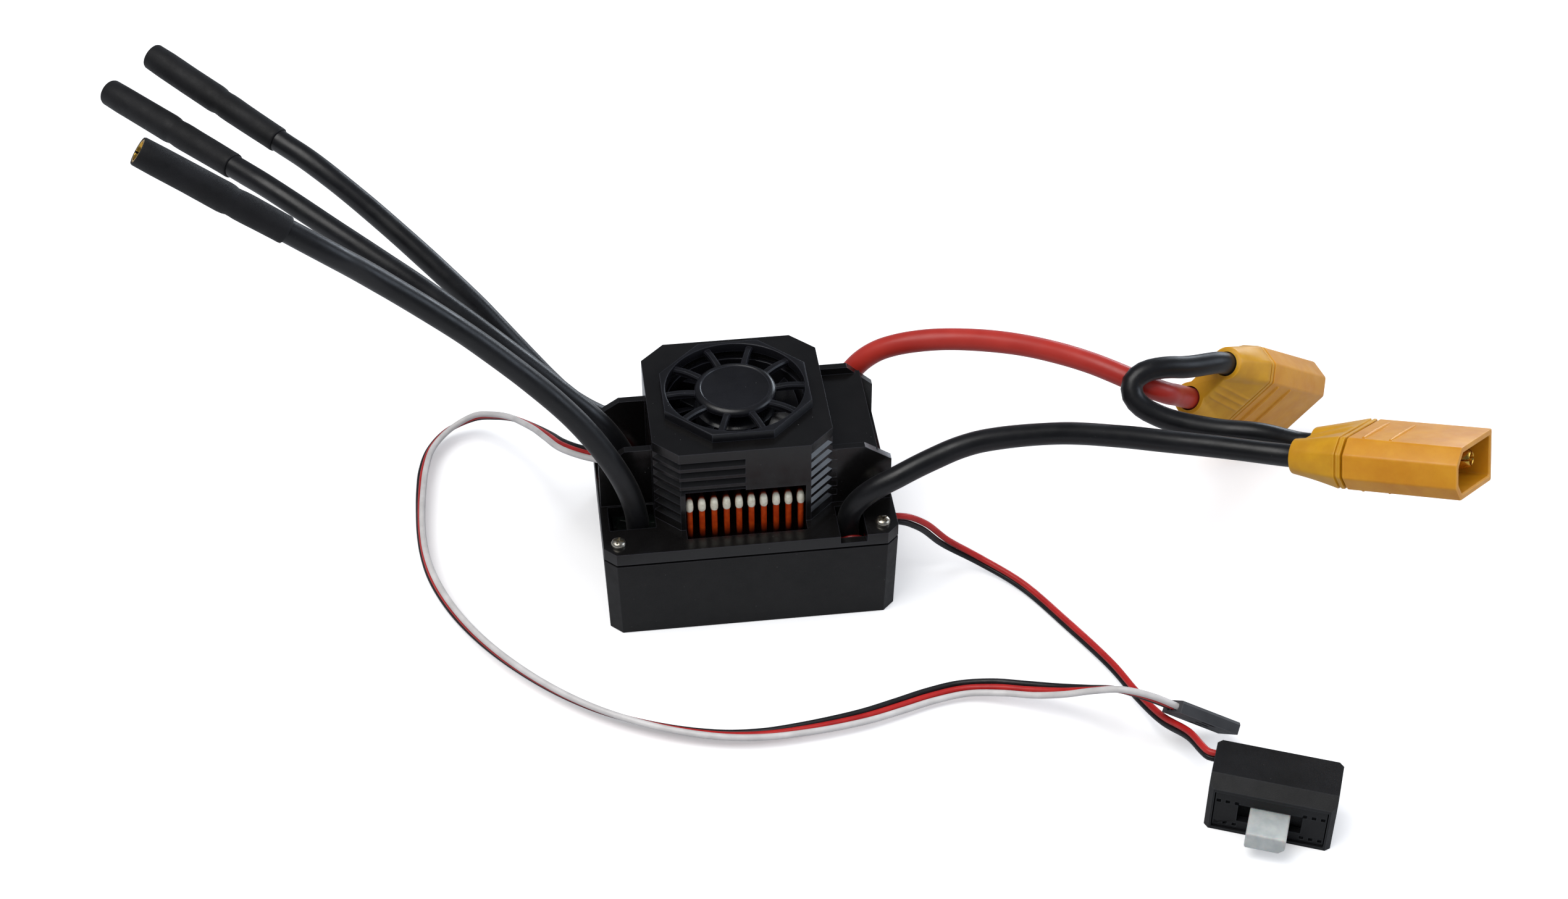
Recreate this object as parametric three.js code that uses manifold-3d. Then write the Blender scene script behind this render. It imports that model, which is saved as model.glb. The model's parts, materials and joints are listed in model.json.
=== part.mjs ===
// Electronic speed controller for a brushless motor: a two-part case with a finned heatsink and a fan,
// three motor leads, two battery leads with series connectors, a receiver lead and a sliding power switch.
// Millimetres, +Z up. The origin is at the middle of the case's underside, the fins' open side faces -Y.
import * as THREE from "three";
import { mergeVertices } from "three/addons/utils/BufferGeometryUtils.js";
import Module from "manifold-3d";

const wasm = await Module();
wasm.setup();

// ---------------------------------------------------------------- driving dimensions

const CASE = { width: 59.5, depth: 48, corner: 2.4, wall: 1.6, floor: 1.8, draft: 0.47, top: 18.4 };
const SEAL = { height: 0.5, inset: 0.5, width: 1.1 };
const DECK = { bottom: CASE.top + SEAL.height, top: 21.65 };
const TOWER = { x: -0.7, half: 18.05, corner: 4.9, wall: 1.6, top: 41.25, roof: 1.6 };
const LOUVRE = { pitch: 2.3, height: 1.5, depth: 0.9, first: 39.0, count: 7, countFront: 4 };
const WINDOW = { left: -12.8, right: 11.4, top: 31.0, relief: 1.1, sill: -20.8 };
const PLATE = { thick: 1.6, top: 35.6, outer: 29.4, shoulder: 24, shoulderZ: 32, shoulderRear: 30.6 };
const PLATE_Y = { leftFront: -8.0, leftRear: 8.0, rightFront: -12.4, rightRear: 13.6 };
const BAY = { top: 34.0, roofX: 26.7, footX: 28.9, wall: 1.3 };
const POCKET = { near: 18.8, far: 28.1, cutLeft: 17.7, cutRight: 23.1, cutBack: -14.6, cutFloor: 19.9 };

const SCREW = { x: 26.7, y: 20.7, shank: 0.85, head: 1.5, headHeight: 1.2, length: 13, slot: 0.45 };
const BOSS = { radius: 2.9, bottom: 8.0 };

const GUARD = { half: 14.9, height: 2.0, opening: 14.05, hub: 8.3, hubTop: 1.9, spokes: 10, spokeWidth: 1.5 };
const FAN = { size: 30, bottom: 32.2, top: 39.4, bore: 14.0, strut: 1.2, hub: 8.2, blade: 13.3, blades: 7 };
const ROTOR = {
  cupBore: 7.5, bottom: 34.2, roof: 38.1, top: 39, paddle: 6.4, paddleThick: 0.7, twist: 38, middle: 36.6,
};
const MOTOR = {
  tube: 2.4, tubeTop: 37.2, tubeBore: 1.65, shaft: 0.75, shaftZ: [33.6, 38.1], bearingBore: 0.8, bearingZ: [33.2, 37],
  magnetIn: 6.6, magnetOut: 7.4, magnetZ: [34.2, 37.4],
};
const STATOR = { bottom: 34.4, top: 36.4, core: 3.4, arm: 2, armEnd: 5.4, shoe: 4.8, shoeIn: 5.2, shoeOut: 6 };

const SINK = { half: 15, bottom: 14.6, base: 4.0, fins: 10, pitch: 2.5, thick: 1.2, front: -17.2, top: 29.4 };
const BOARD = {
  control: 5.0, controlThick: 1.2, controlSize: [50, 40, 5],
  power: 11.0, powerThick: 1.6, powerSize: [54, 43, 6],
};
const PAD = { halfX: 14, halfY: 10 };
const HEADER = { halfX: 6, front: -16, back: -13.5 };
const CHIP = { left: -12, right: -5, front: 1, back: 8, height: 0.9 };
const FET = { width: 5, depth: 6, height: 1.0, pitchX: 10, pitchY: 12 };
const CAP = { radius: 3.15, x: 22.2, pitch: 7.6, y: 0.6, top: 30 };

const LEAD = { radius: 2.3, sides: 10, steps: 24 };
const SLEEVE = { inner: 2.5, outer: 2.85, lengths: { a: 30, b: 35, c: 34 } };
const BULLET = { outer: 2.45, bore: 2.0, length: 15, cup: 6 };
const THIN = { radius: 0.65, pitch: 1.55, sides: 6, steps: 44 };
const FAN_WIRE = { radius: 0.4, pitch: 0.9, sides: 5, steps: 18 };

const PLUG = { length: 13, width: 7.6, thick: 2.5, chamfer: 0.5, insert: 1.6 };
const CONNECTOR = {
  width: 21, thick: 10.5, chamfer: 2.9, capLength: 11.3, gap: 0.3, length: 34.6,
  pitch: 10.9, cup: 3.5, cupBore: 2.6, web: 2.5, wall: 1.3, floor: 18, pin: 2.25, pinBore: 2.55, insert: 3,
};
const SWITCH = {
  length: 23.7, depth: 11.2, height: 12.5, wall: 1.3, corner: 0.9, travel: 2.0,
  bevel: 2.6, ledge: 10.6, mouthLow: 0.6, mouthHigh: 9.9, plate: 1.4, recess: 0.5,
};
const KNOB = { width: 7.5, height: 3.9, reach: 6.0, z: 5.0, carriage: 16.4, clearance: 0.25 };
const PIP = { size: 0.85, pitch: 1.7, group: 8.0, rows: [1.7, 7.4] };
const SWITCH_LEAD = { y: 3.8, z: 9.8, pitch: 1.44 };

// ---------------------------------------------------------------- routes of the leads

// Each route runs from the power board, up through its pocket, to the far end.
const MOTOR_ROUTES = {
  a: [[-22.4, -12.6, 13], [-22.4, -13.4, 22], [-24.8, -13.4, 32], [-33.1, -12, 47], [-50.3, -11, 67],
    [-68.4, -10.9, 84], [-84.5, -12.3, 98.3], [-107.2, -10.4, 115.3]],
  b: [[-22.4, -1, 13], [-22.6, -1, 24], [-26.8, -0.2, 34], [-36.1, 2.2, 44], [-57.7, 11.5, 61],
    [-74.6, 21, 70.6], [-96.4, 38.2, 78.4], [-122.5, 62.8, 83.1]],
  c: [[-22.4, 13, 13], [-22.9, 13, 22], [-26.6, 12.8, 27], [-33.8, 12.6, 33.2], [-52.9, 21.6, 54.6],
    [-70.9, 34.2, 69], [-88.8, 47.2, 79], [-113.5, 68.1, 87.8]],
};
const RED_ROUTE = [[22, 18.5, 13], [22, 18.8, 22], [25, 18.9, 28.6], [30.4, 18.6, 34.4], [40.5, 15.8, 38.8],
  [57.2, 12, 39.5], [72, 6.9, 37.6]];
const BLACK_ROUTE = [[20.3, -17.2, 13], [20.4, -17.2, 21.5], [23.4, -18, 27], [30, -18, 31.2], [37.6, -16.2, 33.7],
  [46, -14.8, 35.7], [62.8, -14.6, 36.2], [75.1, -16.1, 35.4], [85.8, -18.7, 34.9], [95, -22, 35.3]];
const JUMPER_ROUTE = [[104.6, -16.5, 33.3], [95.9, -13.3, 32.8], [86.5, -9.6, 33.6], [81.1, -6.5, 35.9],
  [80.2, -4.1, 38.3], [82.6, -2.5, 40.1], [86.9, -1.5, 40.4], [92.6, -0.4, 39.2]];

// These leads are ribbons: a point's last number is the ribbon's roll about its own path, in degrees. At 0 the
// ribbon lies flat and its wires step to the left of the way it runs, at 90 they step upwards.
const RECEIVER_ROUTE = [[-20.6, 3.8, 14, 180], [-21.6, 3.8, 21, 180], [-27.6, 3.1, 24.8, 184],
  [-34.4, 8.6, 23.2, 192], [-41, 23.4, 17.2, 214], [-48.8, 38.2, 9.6, 220], [-57, 44.2, 4.2, 222],
  [-64, 38, 2.8, 232], [-67, 20, 2.6, 248], [-65.2, -4, 2.6, 266], [-54.6, -26, 2.5, 287], [-34, -46.6, 2.3, 306],
  [-8.7, -56.8, 2, 330], [14.7, -55.7, 1.9, 350], [39.3, -49.9, 2, 360], [55, -56.4, 5.7, 356]];
const SWITCH_ROUTE = [[25, -16.6, 18.65, 90], [27.6, -16.6, 18.65, 90], [31, -16.6, 18.65, 90],
  [36, -14.8, 14.6, 90], [41.5, -12.6, 7.4, 90], [48.2, -14, 3.2, 90], [56, -21, 1.6, 90], [63.1, -33.7, 1.5, 90],
  [69.4, -47.6, 2.2, 90], [72.3, -57.4, 3.2, 90], [75, -66, 5.1, 90], [78.1, -73.8, 8.3, 90]];
const FAN_WIRE_ROUTE = [[15.02, -9.6, 31.6, 90], [15.02, -10.2, 24, 90], [15.05, -12.4, 17.6, 90],
  [15.9, -17, 16, 90], [18.6, -20.4, 17.3, 90], [20.8, -20.9, 18.3, 90], [23.1, -20.2, 16.6, 90],
  [24, -15.6, 13.8, 90]];

// Each connector hangs on its leads: `at` is the middle of its wire end, `along` points to the mating end and
// `across` points from the battery lead's cup to the jumper's cup.
// The edges of a connector's negative side, -1 for the battery lead's and 1 for the jumper's, are cut off.
const FRONT_CONNECTOR = {
  at: [111.3, -24.6, 35.0], along: [0.778, -0.566, 0.273], across: [0.628, 0.689, -0.360], negative: -1,
};
const REAR_CONNECTOR = {
  at: [98.7, 3.6, 31.8], along: [0.683, 0.445, -0.580], across: [0.644, 0.008, 0.765], negative: 1,
};
const PLUG_POSE = { at: [76.2, -67.8, 10.2], along: [0.881, -0.114, -0.46], roll: 312.7 };
const SWITCH_POSE = { at: [90.7, -89.2, 0], turn: -22.6 };

// ---------------------------------------------------------------- materials

const material = (color, roughness, metalness = 0) =>
  new THREE.MeshStandardMaterial({ color, roughness, metalness });

const MAT = {
  caseBlack: material(0x1b1a1b, 0.5),
  fanBlack: material(0x141418, 0.45),
  sealRubber: material(0x0c0c0c, 0.9),
  nickel: material(0xb9b4a8, 0.3, 1),
  steel: material(0x9a9ca0, 0.3, 1),
  brass: material(0xb08d4a, 0.35, 1),
  gold: material(0xd8a93c, 0.25, 1),
  magnet: material(0x3a3836, 0.6, 0.3),
  stator: material(0x8d6a3a, 0.5, 0.6),
  anodised: material(0xc84a1a, 0.4, 0.6),
  thermal: material(0x8f9aa8, 0.85),
  boardGreen: material(0x1d5a34, 0.5),
  chip: material(0x202022, 0.6),
  capacitor: material(0x2a2f45, 0.35),
  leadBlack: material(0x15151a, 0.55),
  leadRed: material(0xc23a2e, 0.5),
  sleeve: material(0x1a1a1d, 0.75),
  amber: material(0xe8a23a, 0.45),
  amberDark: material(0xd6a02a, 0.45),
  wireWhite: material(0xdcdad6, 0.55),
  wireRed: material(0xc8352b, 0.5),
  wireBlack: material(0x17171a, 0.5),
  plugGrey: material(0x4a4a4d, 0.6),
  switchBlack: material(0x1a1a1e, 0.5),
  knob: material(0xb8bcbc, 0.4),
};

// ---------------------------------------------------------------- solids: making, joining and cutting

const group = new THREE.Group();

function solid(geometry) {
  const bare = geometry.clone();
  bare.deleteAttribute("normal");
  bare.deleteAttribute("uv");
  const merged = mergeVertices(bare, 1e-4);
  return new wasm.Manifold(
    new wasm.Mesh({
      numProp: 3,
      vertProperties: merged.attributes.position.array,
      triVerts: new Uint32Array(merged.index.array),
    }),
  );
}

function geometryOf(manifold) {
  const mesh = manifold.getMesh();
  const geometry = new THREE.BufferGeometry();
  geometry.setAttribute("position", new THREE.BufferAttribute(mesh.vertProperties.slice(), 3));
  geometry.setIndex(new THREE.BufferAttribute(mesh.triVerts.slice(), 1));
  const flat = geometry.toNonIndexed();
  flat.computeVertexNormals();
  return flat;
}

const joined = (parts) => parts.reduce((whole, part) => whole.add(part));
const cut = (body, tools) => tools.reduce((whole, tool) => whole.subtract(tool), body);

function place(name, shape, finish, parent = group) {
  const geometry = shape.isBufferGeometry ? shape : geometryOf(shape);
  const mesh = new THREE.Mesh(geometry, finish);
  mesh.name = name;
  parent.add(mesh);
  return mesh;
}

// ---------------------------------------------------------------- basic shapes, all as manifold solids

function box(x0, x1, y0, y1, z0, z1) {
  const geometry = new THREE.BoxGeometry(x1 - x0, y1 - y0, z1 - z0);
  return solid(geometry.translate((x0 + x1) / 2, (y0 + y1) / 2, (z0 + z1) / 2));
}

function cylinder(radius, z0, z1, x = 0, y = 0, sides = 24) {
  const geometry = new THREE.CylinderGeometry(radius, radius, z1 - z0, sides);
  return solid(geometry.rotateX(Math.PI / 2).translate(x, y, (z0 + z1) / 2));
}

function rod(radius, x0, x1, y = 0, z = 0, sides = 20) {
  const geometry = new THREE.CylinderGeometry(radius, radius, x1 - x0, sides);
  return solid(geometry.rotateZ(Math.PI / 2).translate((x0 + x1) / 2, y, z));
}

const outline = (points) => new THREE.Shape(points.map(([x, y]) => new THREE.Vector2(x, y)));

// An outline in X and Y, raised from z0 to z1.
function prism(points, z0, z1) {
  const geometry = new THREE.ExtrudeGeometry(outline(points), { depth: z1 - z0, bevelEnabled: false });
  return solid(geometry.translate(0, 0, z0));
}

// An outline in X and Z, carried from y0 to y1.
function slab(points, y0, y1) {
  const geometry = new THREE.ExtrudeGeometry(outline(points), { depth: y1 - y0, bevelEnabled: false });
  return solid(geometry.rotateX(Math.PI / 2).translate(0, y1, 0));
}

// Turns a body so that its own Z runs along X, its X along Y and its Y along Z.
const alongX = (manifold) => manifold.rotate([90, 0, 90]);

// An outline in Y and Z, carried from x0 to x1.
const bar = (points, x0, x1) => alongX(prism(points, x0, x1));

// A rectangle with its corners cut off at 45 degrees, anticlockwise.
function chamfered(width, depth, corner, cx = 0, cy = 0) {
  const [w, d] = [width / 2, depth / 2];
  return [
    [w, corner - d], [w, d - corner], [w - corner, d], [corner - w, d],
    [-w, d - corner], [-w, corner - d], [corner - w, -d], [w - corner, -d],
  ].map(([x, y]) => [x + cx, y + cy]);
}

// A straight-sided body between two outlines that have the same number of points.
function loft(lower, upper, z0, z1) {
  const count = lower.length;
  const rings = [...lower.map(([x, y]) => [x, y, z0]), ...upper.map(([x, y]) => [x, y, z1])];
  const faces = [];
  for (let i = 0; i < count; i++) {
    const next = (i + 1) % count;
    faces.push(i, next, next + count, i, next + count, i + count);
  }
  for (let i = 1; i < count - 1; i++) {
    faces.push(0, i + 1, i, count, count + i, count + i + 1);
  }
  const geometry = new THREE.BufferGeometry();
  geometry.setAttribute("position", new THREE.Float32BufferAttribute(rings.flat(), 3));
  geometry.setIndex(faces);
  return solid(geometry);
}

// A body turned about +Z from a closed outline of [radius, height] points, anticlockwise.
function turned(points, sides = 32) {
  const profile = points.map(([r, z]) => new THREE.Vector2(r, z));
  if (points[0][0] > 0) profile.push(profile[0].clone());
  return solid(new THREE.LatheGeometry(profile, sides).rotateX(Math.PI / 2));
}

const moved = (manifold, x, y, z) => manifold.translate([x, y, z]);

const vector = ([x, y, z]) => new THREE.Vector3(x, y, z);

// A round wire along a curve, closed at both ends.
function wire(curve, radius, sides, steps) {
  const circle = [];
  for (let i = 0; i < sides; i++) {
    const angle = (2 * Math.PI * i) / sides;
    circle.push([radius * Math.cos(angle), radius * Math.sin(angle)]);
  }
  const geometry = new THREE.ExtrudeGeometry(outline(circle), { steps, extrudePath: curve });
  return solid(geometry);
}

const spline = (points) => new THREE.CatmullRomCurve3(points.map(vector), false, "centripetal");

// A group whose local X is `along` and whose local Y is `across`, with its origin at `at`.
function framed({ at, along, across }) {
  const x = vector(along).normalize();
  const z = x.clone().cross(vector(across)).normalize();
  const y = z.clone().cross(x);
  const frame = new THREE.Group();
  frame.matrix.makeBasis(x, y, z).setPosition(vector(at));
  frame.matrix.decompose(frame.position, frame.quaternion, frame.scale);
  frame.updateMatrix();
  group.add(frame);
  return frame;
}

// ---------------------------------------------------------------- case

const corners = [[-1, -1], [1, -1], [1, 1], [-1, 1]];
const screwSpots = corners.map(([sx, sy]) => [sx * SCREW.x, sy * SCREW.y]);

// The four screw bores, wider than the shank by `clearance` all round.
const screwBores = (clearance) => screwSpots.map(([x, y]) =>
  cylinder(SCREW.shank + clearance, BOSS.bottom, DECK.top + 1, x, y, 12));

// The gap at the case's seam that lets the switch lead out.
const seamNotch = () => box(24, CASE.width, -17.4, -15.8, CASE.top - 1.3, DECK.bottom + 1.3);

function lowerCase() {
  const { width, depth, corner, wall, floor, draft, top } = CASE;
  const foot = chamfered(width - 2 * draft, depth - 2 * draft, corner);
  const solidBlock = loft(foot, chamfered(width, depth, corner), 0, top);
  const inner = 2 * (wall + draft);
  const cavity = prism(chamfered(width - inner, depth - inner, corner), floor, top + 1);
  const bosses = screwSpots.map(([x, y]) => cylinder(BOSS.radius, 1, top, x, y, 12));
  const boardPosts = corners.map(([sx, sy]) => cylinder(1.5, 1, BOARD.control, sx * 20, sy * 14, 8));
  const powerPosts = corners.map(([sx, sy]) => cylinder(1.1, 1, BOARD.power, sx * 26.4, sy * 8, 8));
  const body = joined([solidBlock.subtract(cavity), ...bosses, ...boardPosts, ...powerPosts]);
  return cut(body.intersect(solidBlock), [...screwBores(0.05), seamNotch()]);
}

function caseSeal() {
  const { width, depth, corner, top } = CASE;
  const outer = prism(chamfered(width - 2 * SEAL.inset, depth - 2 * SEAL.inset, corner), top, DECK.bottom);
  const inset = 2 * (SEAL.inset + SEAL.width);
  const inner = prism(chamfered(width - inset, depth - inset, corner), top - 1, DECK.bottom + 1);
  return cut(outer, [inner, seamNotch(), ...screwBores(0.25)]);
}

const octagon = (half, corner) => chamfered(2 * half, 2 * half, corner, TOWER.x, 0);

// Grooves cut round the front of the tower: all the way down its two front corners, and across the left half
// of its front only above the window. A groove's floor slopes outwards and down at 45 degrees.
function louvres() {
  const { pitch, height, depth, first, count, countFront } = LOUVRE;
  const { half, corner, x } = TOWER;
  const innerCorner = corner - depth * (2 - Math.SQRT2);
  const cornerX = half - corner;
  const reach = half + 1;
  const grooves = [];
  for (let i = 0; i < count; i++) {
    const top = first - i * pitch;
    const bottom = top - height;
    const inner = octagon(half - depth, innerCorner);
    const ramp = loft(octagon(half, corner), inner, bottom, bottom + depth);
    const core = ramp.add(prism(inner, bottom + depth / 2, top + 1));
    const band = prism(octagon(reach, corner), bottom, top).subtract(core);
    const leftEdge = i < countFront ? x : x - cornerX;
    grooves.push(band.intersect(box(x - reach, leftEdge, -reach, -cornerX, bottom, top)));
    grooves.push(band.intersect(box(x + cornerX, x + reach, -reach, -cornerX, bottom, top)));
  }
  return grooves;
}

// An upright plate from the tower to the case's side; side is -1 on the left and 1 on the right.
function sidePlate(side, y, shoulderZ = PLATE.shoulderZ) {
  const { thick, top, outer, shoulder } = PLATE;
  const profile = [[14, DECK.bottom], [outer, DECK.bottom], [outer, shoulderZ], [shoulder, top], [14, top]];
  const turnedProfile = side > 0 ? profile : profile.map(([x, z]) => [-x, z]).reverse();
  return slab(turnedProfile, y - thick / 2, y + thick / 2);
}

// The roofed bay's outline in X and Z, shrunk by `inset` at its side and roof.
const bayProfile = (inset, nearX, z0) => [
  [nearX, z0], [BAY.footX - inset, z0], [BAY.roofX - inset, BAY.top - inset], [nearX, BAY.top - inset],
];

function upperCover() {
  const { half, corner, wall, top, roof } = TOWER;
  const deck = prism(chamfered(CASE.width, CASE.depth, CASE.corner), DECK.bottom, DECK.top);
  const tower = prism(octagon(half, corner), DECK.bottom, top);
  const { leftFront, leftRear, rightFront, rightRear } = PLATE_Y;
  const bay = slab(bayProfile(0, 14, DECK.bottom), rightFront, rightRear);
  const plates = [
    sidePlate(-1, leftFront), sidePlate(-1, leftRear), sidePlate(1, rightFront),
    sidePlate(1, rightRear, PLATE.shoulderRear),
  ];
  const inner = PLATE.thick / 2;
  const bayInside = slab(
    bayProfile(BAY.wall, half + TOWER.x + BAY.wall, 10), rightFront + inner, rightRear - inner,
  );
  const { near, far, cutLeft, cutRight, cutBack, cutFloor } = POCKET;
  const pocketBottom = DECK.bottom - 1;
  const pocketTop = DECK.top + 1;
  const tools = [
    prism(octagon(half - wall, corner - 0.5), 10, top - roof),
    cylinder(FAN.bore + 0.6, top - roof - 1, top + 1, TOWER.x, 0, 36),
    box(WINDOW.left, WINDOW.right, -half - 1, -half + wall + 1, DECK.top, WINDOW.top),
    box(WINDOW.left, WINDOW.right, -half + wall - WINDOW.relief, -half + wall + 1, 10, WINDOW.top),
    box(WINDOW.left, WINDOW.right, WINDOW.sill, -half + wall + 1, 10, DECK.top + 1),
    bayInside,
    box(-far, -near, -16.4, leftFront - inner - 0.4, pocketBottom, pocketTop),
    box(-far, -near, leftFront + inner + 0.4, leftRear - inner - 0.4, pocketBottom, pocketTop),
    box(-far, -near, leftRear + inner + 0.4, 17.4, pocketBottom, pocketTop),
    box(near, 27.2, rightRear + inner + 0.4, 17.4, pocketBottom, pocketTop),
    box(near, 24.8, 17.2, 22, pocketBottom, pocketTop),
    box(cutLeft, cutRight, -CASE.depth, cutBack, cutFloor, pocketTop),
    box(cutLeft, cutRight, -22.3, cutBack, pocketBottom, pocketTop),
    seamNotch(),
    ...screwBores(0.25),
    ...louvres(),
  ];
  return cut(joined([deck, tower, bay, ...plates]), tools);
}

// A pan-head screw with a cross recess, its head resting on the deck.
function caseScrew() {
  const { shank, head, headHeight, length, slot } = SCREW;
  const body = turned([
    [0, -length], [shank * 0.55, -length + 0.4], [shank, -length + 1.4], [shank, 0], [head, 0],
    [head, headHeight * 0.45], [head * 0.86, headHeight * 0.8], [head * 0.45, headHeight], [0, headHeight],
  ], 12);
  const depth = headHeight * 0.45;
  return cut(body, [
    box(-head * 0.72, head * 0.72, -slot / 2, slot / 2, depth, headHeight + 1),
    box(-slot / 2, slot / 2, -head * 0.72, head * 0.72, depth, headHeight + 1),
  ]);
}

// ---------------------------------------------------------------- fan

// An octagonal frame with a round opening, a bevelled middle disc and the spokes that carry it.
function fanGuard() {
  const { half, height, opening, hub, hubTop, spokes, spokeWidth } = GUARD;
  const side = half * (2 - Math.SQRT2);
  const mouth = cylinder(opening, -1, height + 1, 0, 0, 40);
  const frame = prism(chamfered(2 * half, 2 * half, side), 0, height).subtract(mouth);
  const disc = turned([
    [0, 0.5], [hub, 0.5], [hub, hubTop - 0.7], [hub - 0.9, hubTop], [hub - 1.4, hubTop - 0.15], [0, hubTop - 0.15],
  ], 40);
  const arms = [];
  for (let i = 0; i < spokes; i++) {
    const arm = slab([[hub - 1, 0.5], [opening + 0.3, 0.3], [opening + 0.3, height - 0.3], [hub - 1, hubTop - 0.6]],
      -spokeWidth / 2, spokeWidth / 2);
    arms.push(arm.rotate([0, 0, (360 * i) / spokes]));
  }
  return moved(joined([frame, disc, ...arms]), TOWER.x, 0, TOWER.top);
}

// The square fan frame, its floor struts and the tube that holds the bearing.
function fanFrame() {
  const { size, bottom, top, bore, strut } = FAN;
  const tunnel = cylinder(bore, bottom - 1, top + 1, 0, 0, 32);
  const shell = prism(chamfered(size, size, 1.5), bottom, top).subtract(tunnel);
  const struts = [45, 135, 225, 315].map((angle) =>
    box(5, bore + 1, -1, 1, bottom, bottom + strut).rotate([0, 0, angle]));
  const floor = cylinder(7.6, bottom, bottom + strut, 0, 0, 24);
  const tube = cylinder(MOTOR.tube, bottom, MOTOR.tubeTop, 0, 0, 24);
  const seat = cylinder(MOTOR.tubeBore, bottom + 0.8, 40, 0, 0, 24);
  return moved(joined([shell, ...struts, floor, tube]).subtract(seat), TOWER.x, 0, 0);
}

function fanRotor() {
  const { hub, blade, blades } = FAN;
  const { cupBore, bottom, roof, top, paddle, paddleThick, twist, middle } = ROTOR;
  const cup = turned([
    [0, roof], [cupBore, roof], [cupBore, bottom], [hub, bottom], [hub, top - 0.5], [hub - 0.5, top], [0, top],
  ], 28);
  const root = 0.4;
  const paddles = [];
  for (let i = 0; i < blades; i++) {
    const flat = box(0, blade - hub + root, -paddle / 2, paddle / 2, -paddleThick / 2, paddleThick / 2);
    const leaning = flat.rotate([twist, 0, 0]);
    paddles.push(moved(leaning, hub - root, 0, middle).rotate([0, 0, (360 * i) / blades + 12]));
  }
  return moved(joined([cup, ...paddles]), TOWER.x, 0, 0);
}

const ring = (inner, outer, z0, z1, sides = 24) =>
  moved(turned([[inner, z0], [outer, z0], [outer, z1], [inner, z1]], sides), TOWER.x, 0, 0);

function fanStator() {
  const { bottom, top, core, arm, armEnd, shoe, shoeIn, shoeOut } = STATOR;
  const shoeBox = box(shoeIn, shoeOut, -shoe / 2, shoe / 2, bottom, top);
  const pole = box(2, armEnd, -arm / 2, arm / 2, bottom, top).add(shoeBox);
  const poles = [0, 90, 180, 270].map((angle) => pole.rotate([0, 0, angle]));
  const middle = cylinder(core, bottom, top, 0, 0, 24);
  const hole = cylinder(MOTOR.tube + 0.05, bottom - 1, top + 1, 0, 0, 24);
  return moved(joined([middle, ...poles]).subtract(hole), TOWER.x, 0, 0);
}

// ---------------------------------------------------------------- heatsink and electronics

function heatsink() {
  const { half, bottom, base, fins, pitch, thick, front, top } = SINK;
  const parts = [box(-half, half, -half, half, bottom, bottom + base)];
  const tip = thick / 2;
  for (let i = 0; i < fins; i++) {
    const x = (i - (fins - 1) / 2) * pitch;
    const profile = [[x - tip, bottom + 1], [x + tip, bottom + 1], [x + tip, top - tip], [x + tip * 0.5, top],
      [x - tip * 0.5, top], [x - tip, top - tip]];
    parts.push(slab(profile, front, half));
  }
  return moved(joined(parts), TOWER.x, 0, 0);
}

const board = (width, depth, corner, z, thick) => prism(chamfered(width, depth, corner), z, z + thick);

const powerTop = BOARD.power + BOARD.powerThick;
const controlTop = BOARD.control + BOARD.controlThick;

function mosfet(column, row) {
  const x = TOWER.x + (column - 1) * FET.pitchX;
  const y = (row - 0.5) * FET.pitchY;
  const { width, depth, height } = FET;
  return box(x - width / 2, x + width / 2, y - depth / 2, y + depth / 2, powerTop, powerTop + height);
}

function thermalPad() {
  const { halfX, halfY } = PAD;
  return moved(box(-halfX, halfX, -halfY, halfY, powerTop + FET.height, SINK.bottom), TOWER.x, 0, 0);
}

// The row of pins that joins the two boards.
const boardHeader = () => box(-HEADER.halfX, HEADER.halfX, HEADER.front, HEADER.back, controlTop, BOARD.power);

const microcontroller = () => box(CHIP.left, CHIP.right, CHIP.front, CHIP.back, controlTop, controlTop + CHIP.height);

function capacitor(index) {
  const { radius, x, pitch, y, top } = CAP;
  const groove = top - 1.6;
  const body = turned([
    [0, powerTop], [radius, powerTop], [radius, groove], [radius - 0.35, groove + 0.4], [radius, groove + 0.8],
    [radius - 0.2, top], [0, top],
  ], 20);
  return moved(body, x, y + (index - 1) * pitch, 0);
}

// ---------------------------------------------------------------- leads

// Points on the straight run that ends at `end`, so that the spline through them is straight there.
function straightRun(end, along, distances) {
  return distances.map((distance) => vector(end).addScaledVector(along, -distance).toArray());
}

// A motor lead ends at its bullet socket; the sleeve covers the socket and the last of the lead.
function motorLead(letter, points) {
  const end = points[points.length - 1];
  const along = vector(end).sub(vector(points[points.length - 2])).normalize();
  const { inner, outer, lengths } = SLEEVE;
  const covered = lengths[letter];
  const run = straightRun(end, along, [covered + 9, covered + 2, covered / 2 + 5, BULLET.length + 0.3]);
  const path = spline([...points.slice(0, -2), ...run]);
  place("motor_wire_" + letter, wire(path, LEAD.radius, LEAD.sides, LEAD.steps), MAT.leadBlack);

  const frame = framed({ at: end, along: along.toArray(), across: [0, 0, 1] });
  const sleeve = turned([[inner, -covered], [outer, -covered], [outer, 0], [inner, 0]], 20);
  const cupFloor = BULLET.cup - BULLET.length;
  const bullet = turned([
    [0, -BULLET.length], [BULLET.outer, -BULLET.length], [BULLET.outer, -0.6], [BULLET.bore, -0.6],
    [BULLET.bore, cupFloor], [0, cupFloor],
  ], 20);
  place("motor_sleeve_" + letter, alongX(sleeve), MAT.sleeve, frame);
  place("motor_bullet_" + letter, alongX(bullet), MAT.gold, frame);
}

// The points that bring a lead straight into one of a connector's two cups: side is -1 or 1.
function intoCup(pose, side, distances) {
  const along = vector(pose.along).normalize();
  const cup = vector(pose.at).addScaledVector(vector(pose.across).normalize(), (side * CONNECTOR.pitch) / 2);
  return straightRun(cup.toArray(), along, distances);
}

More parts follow.
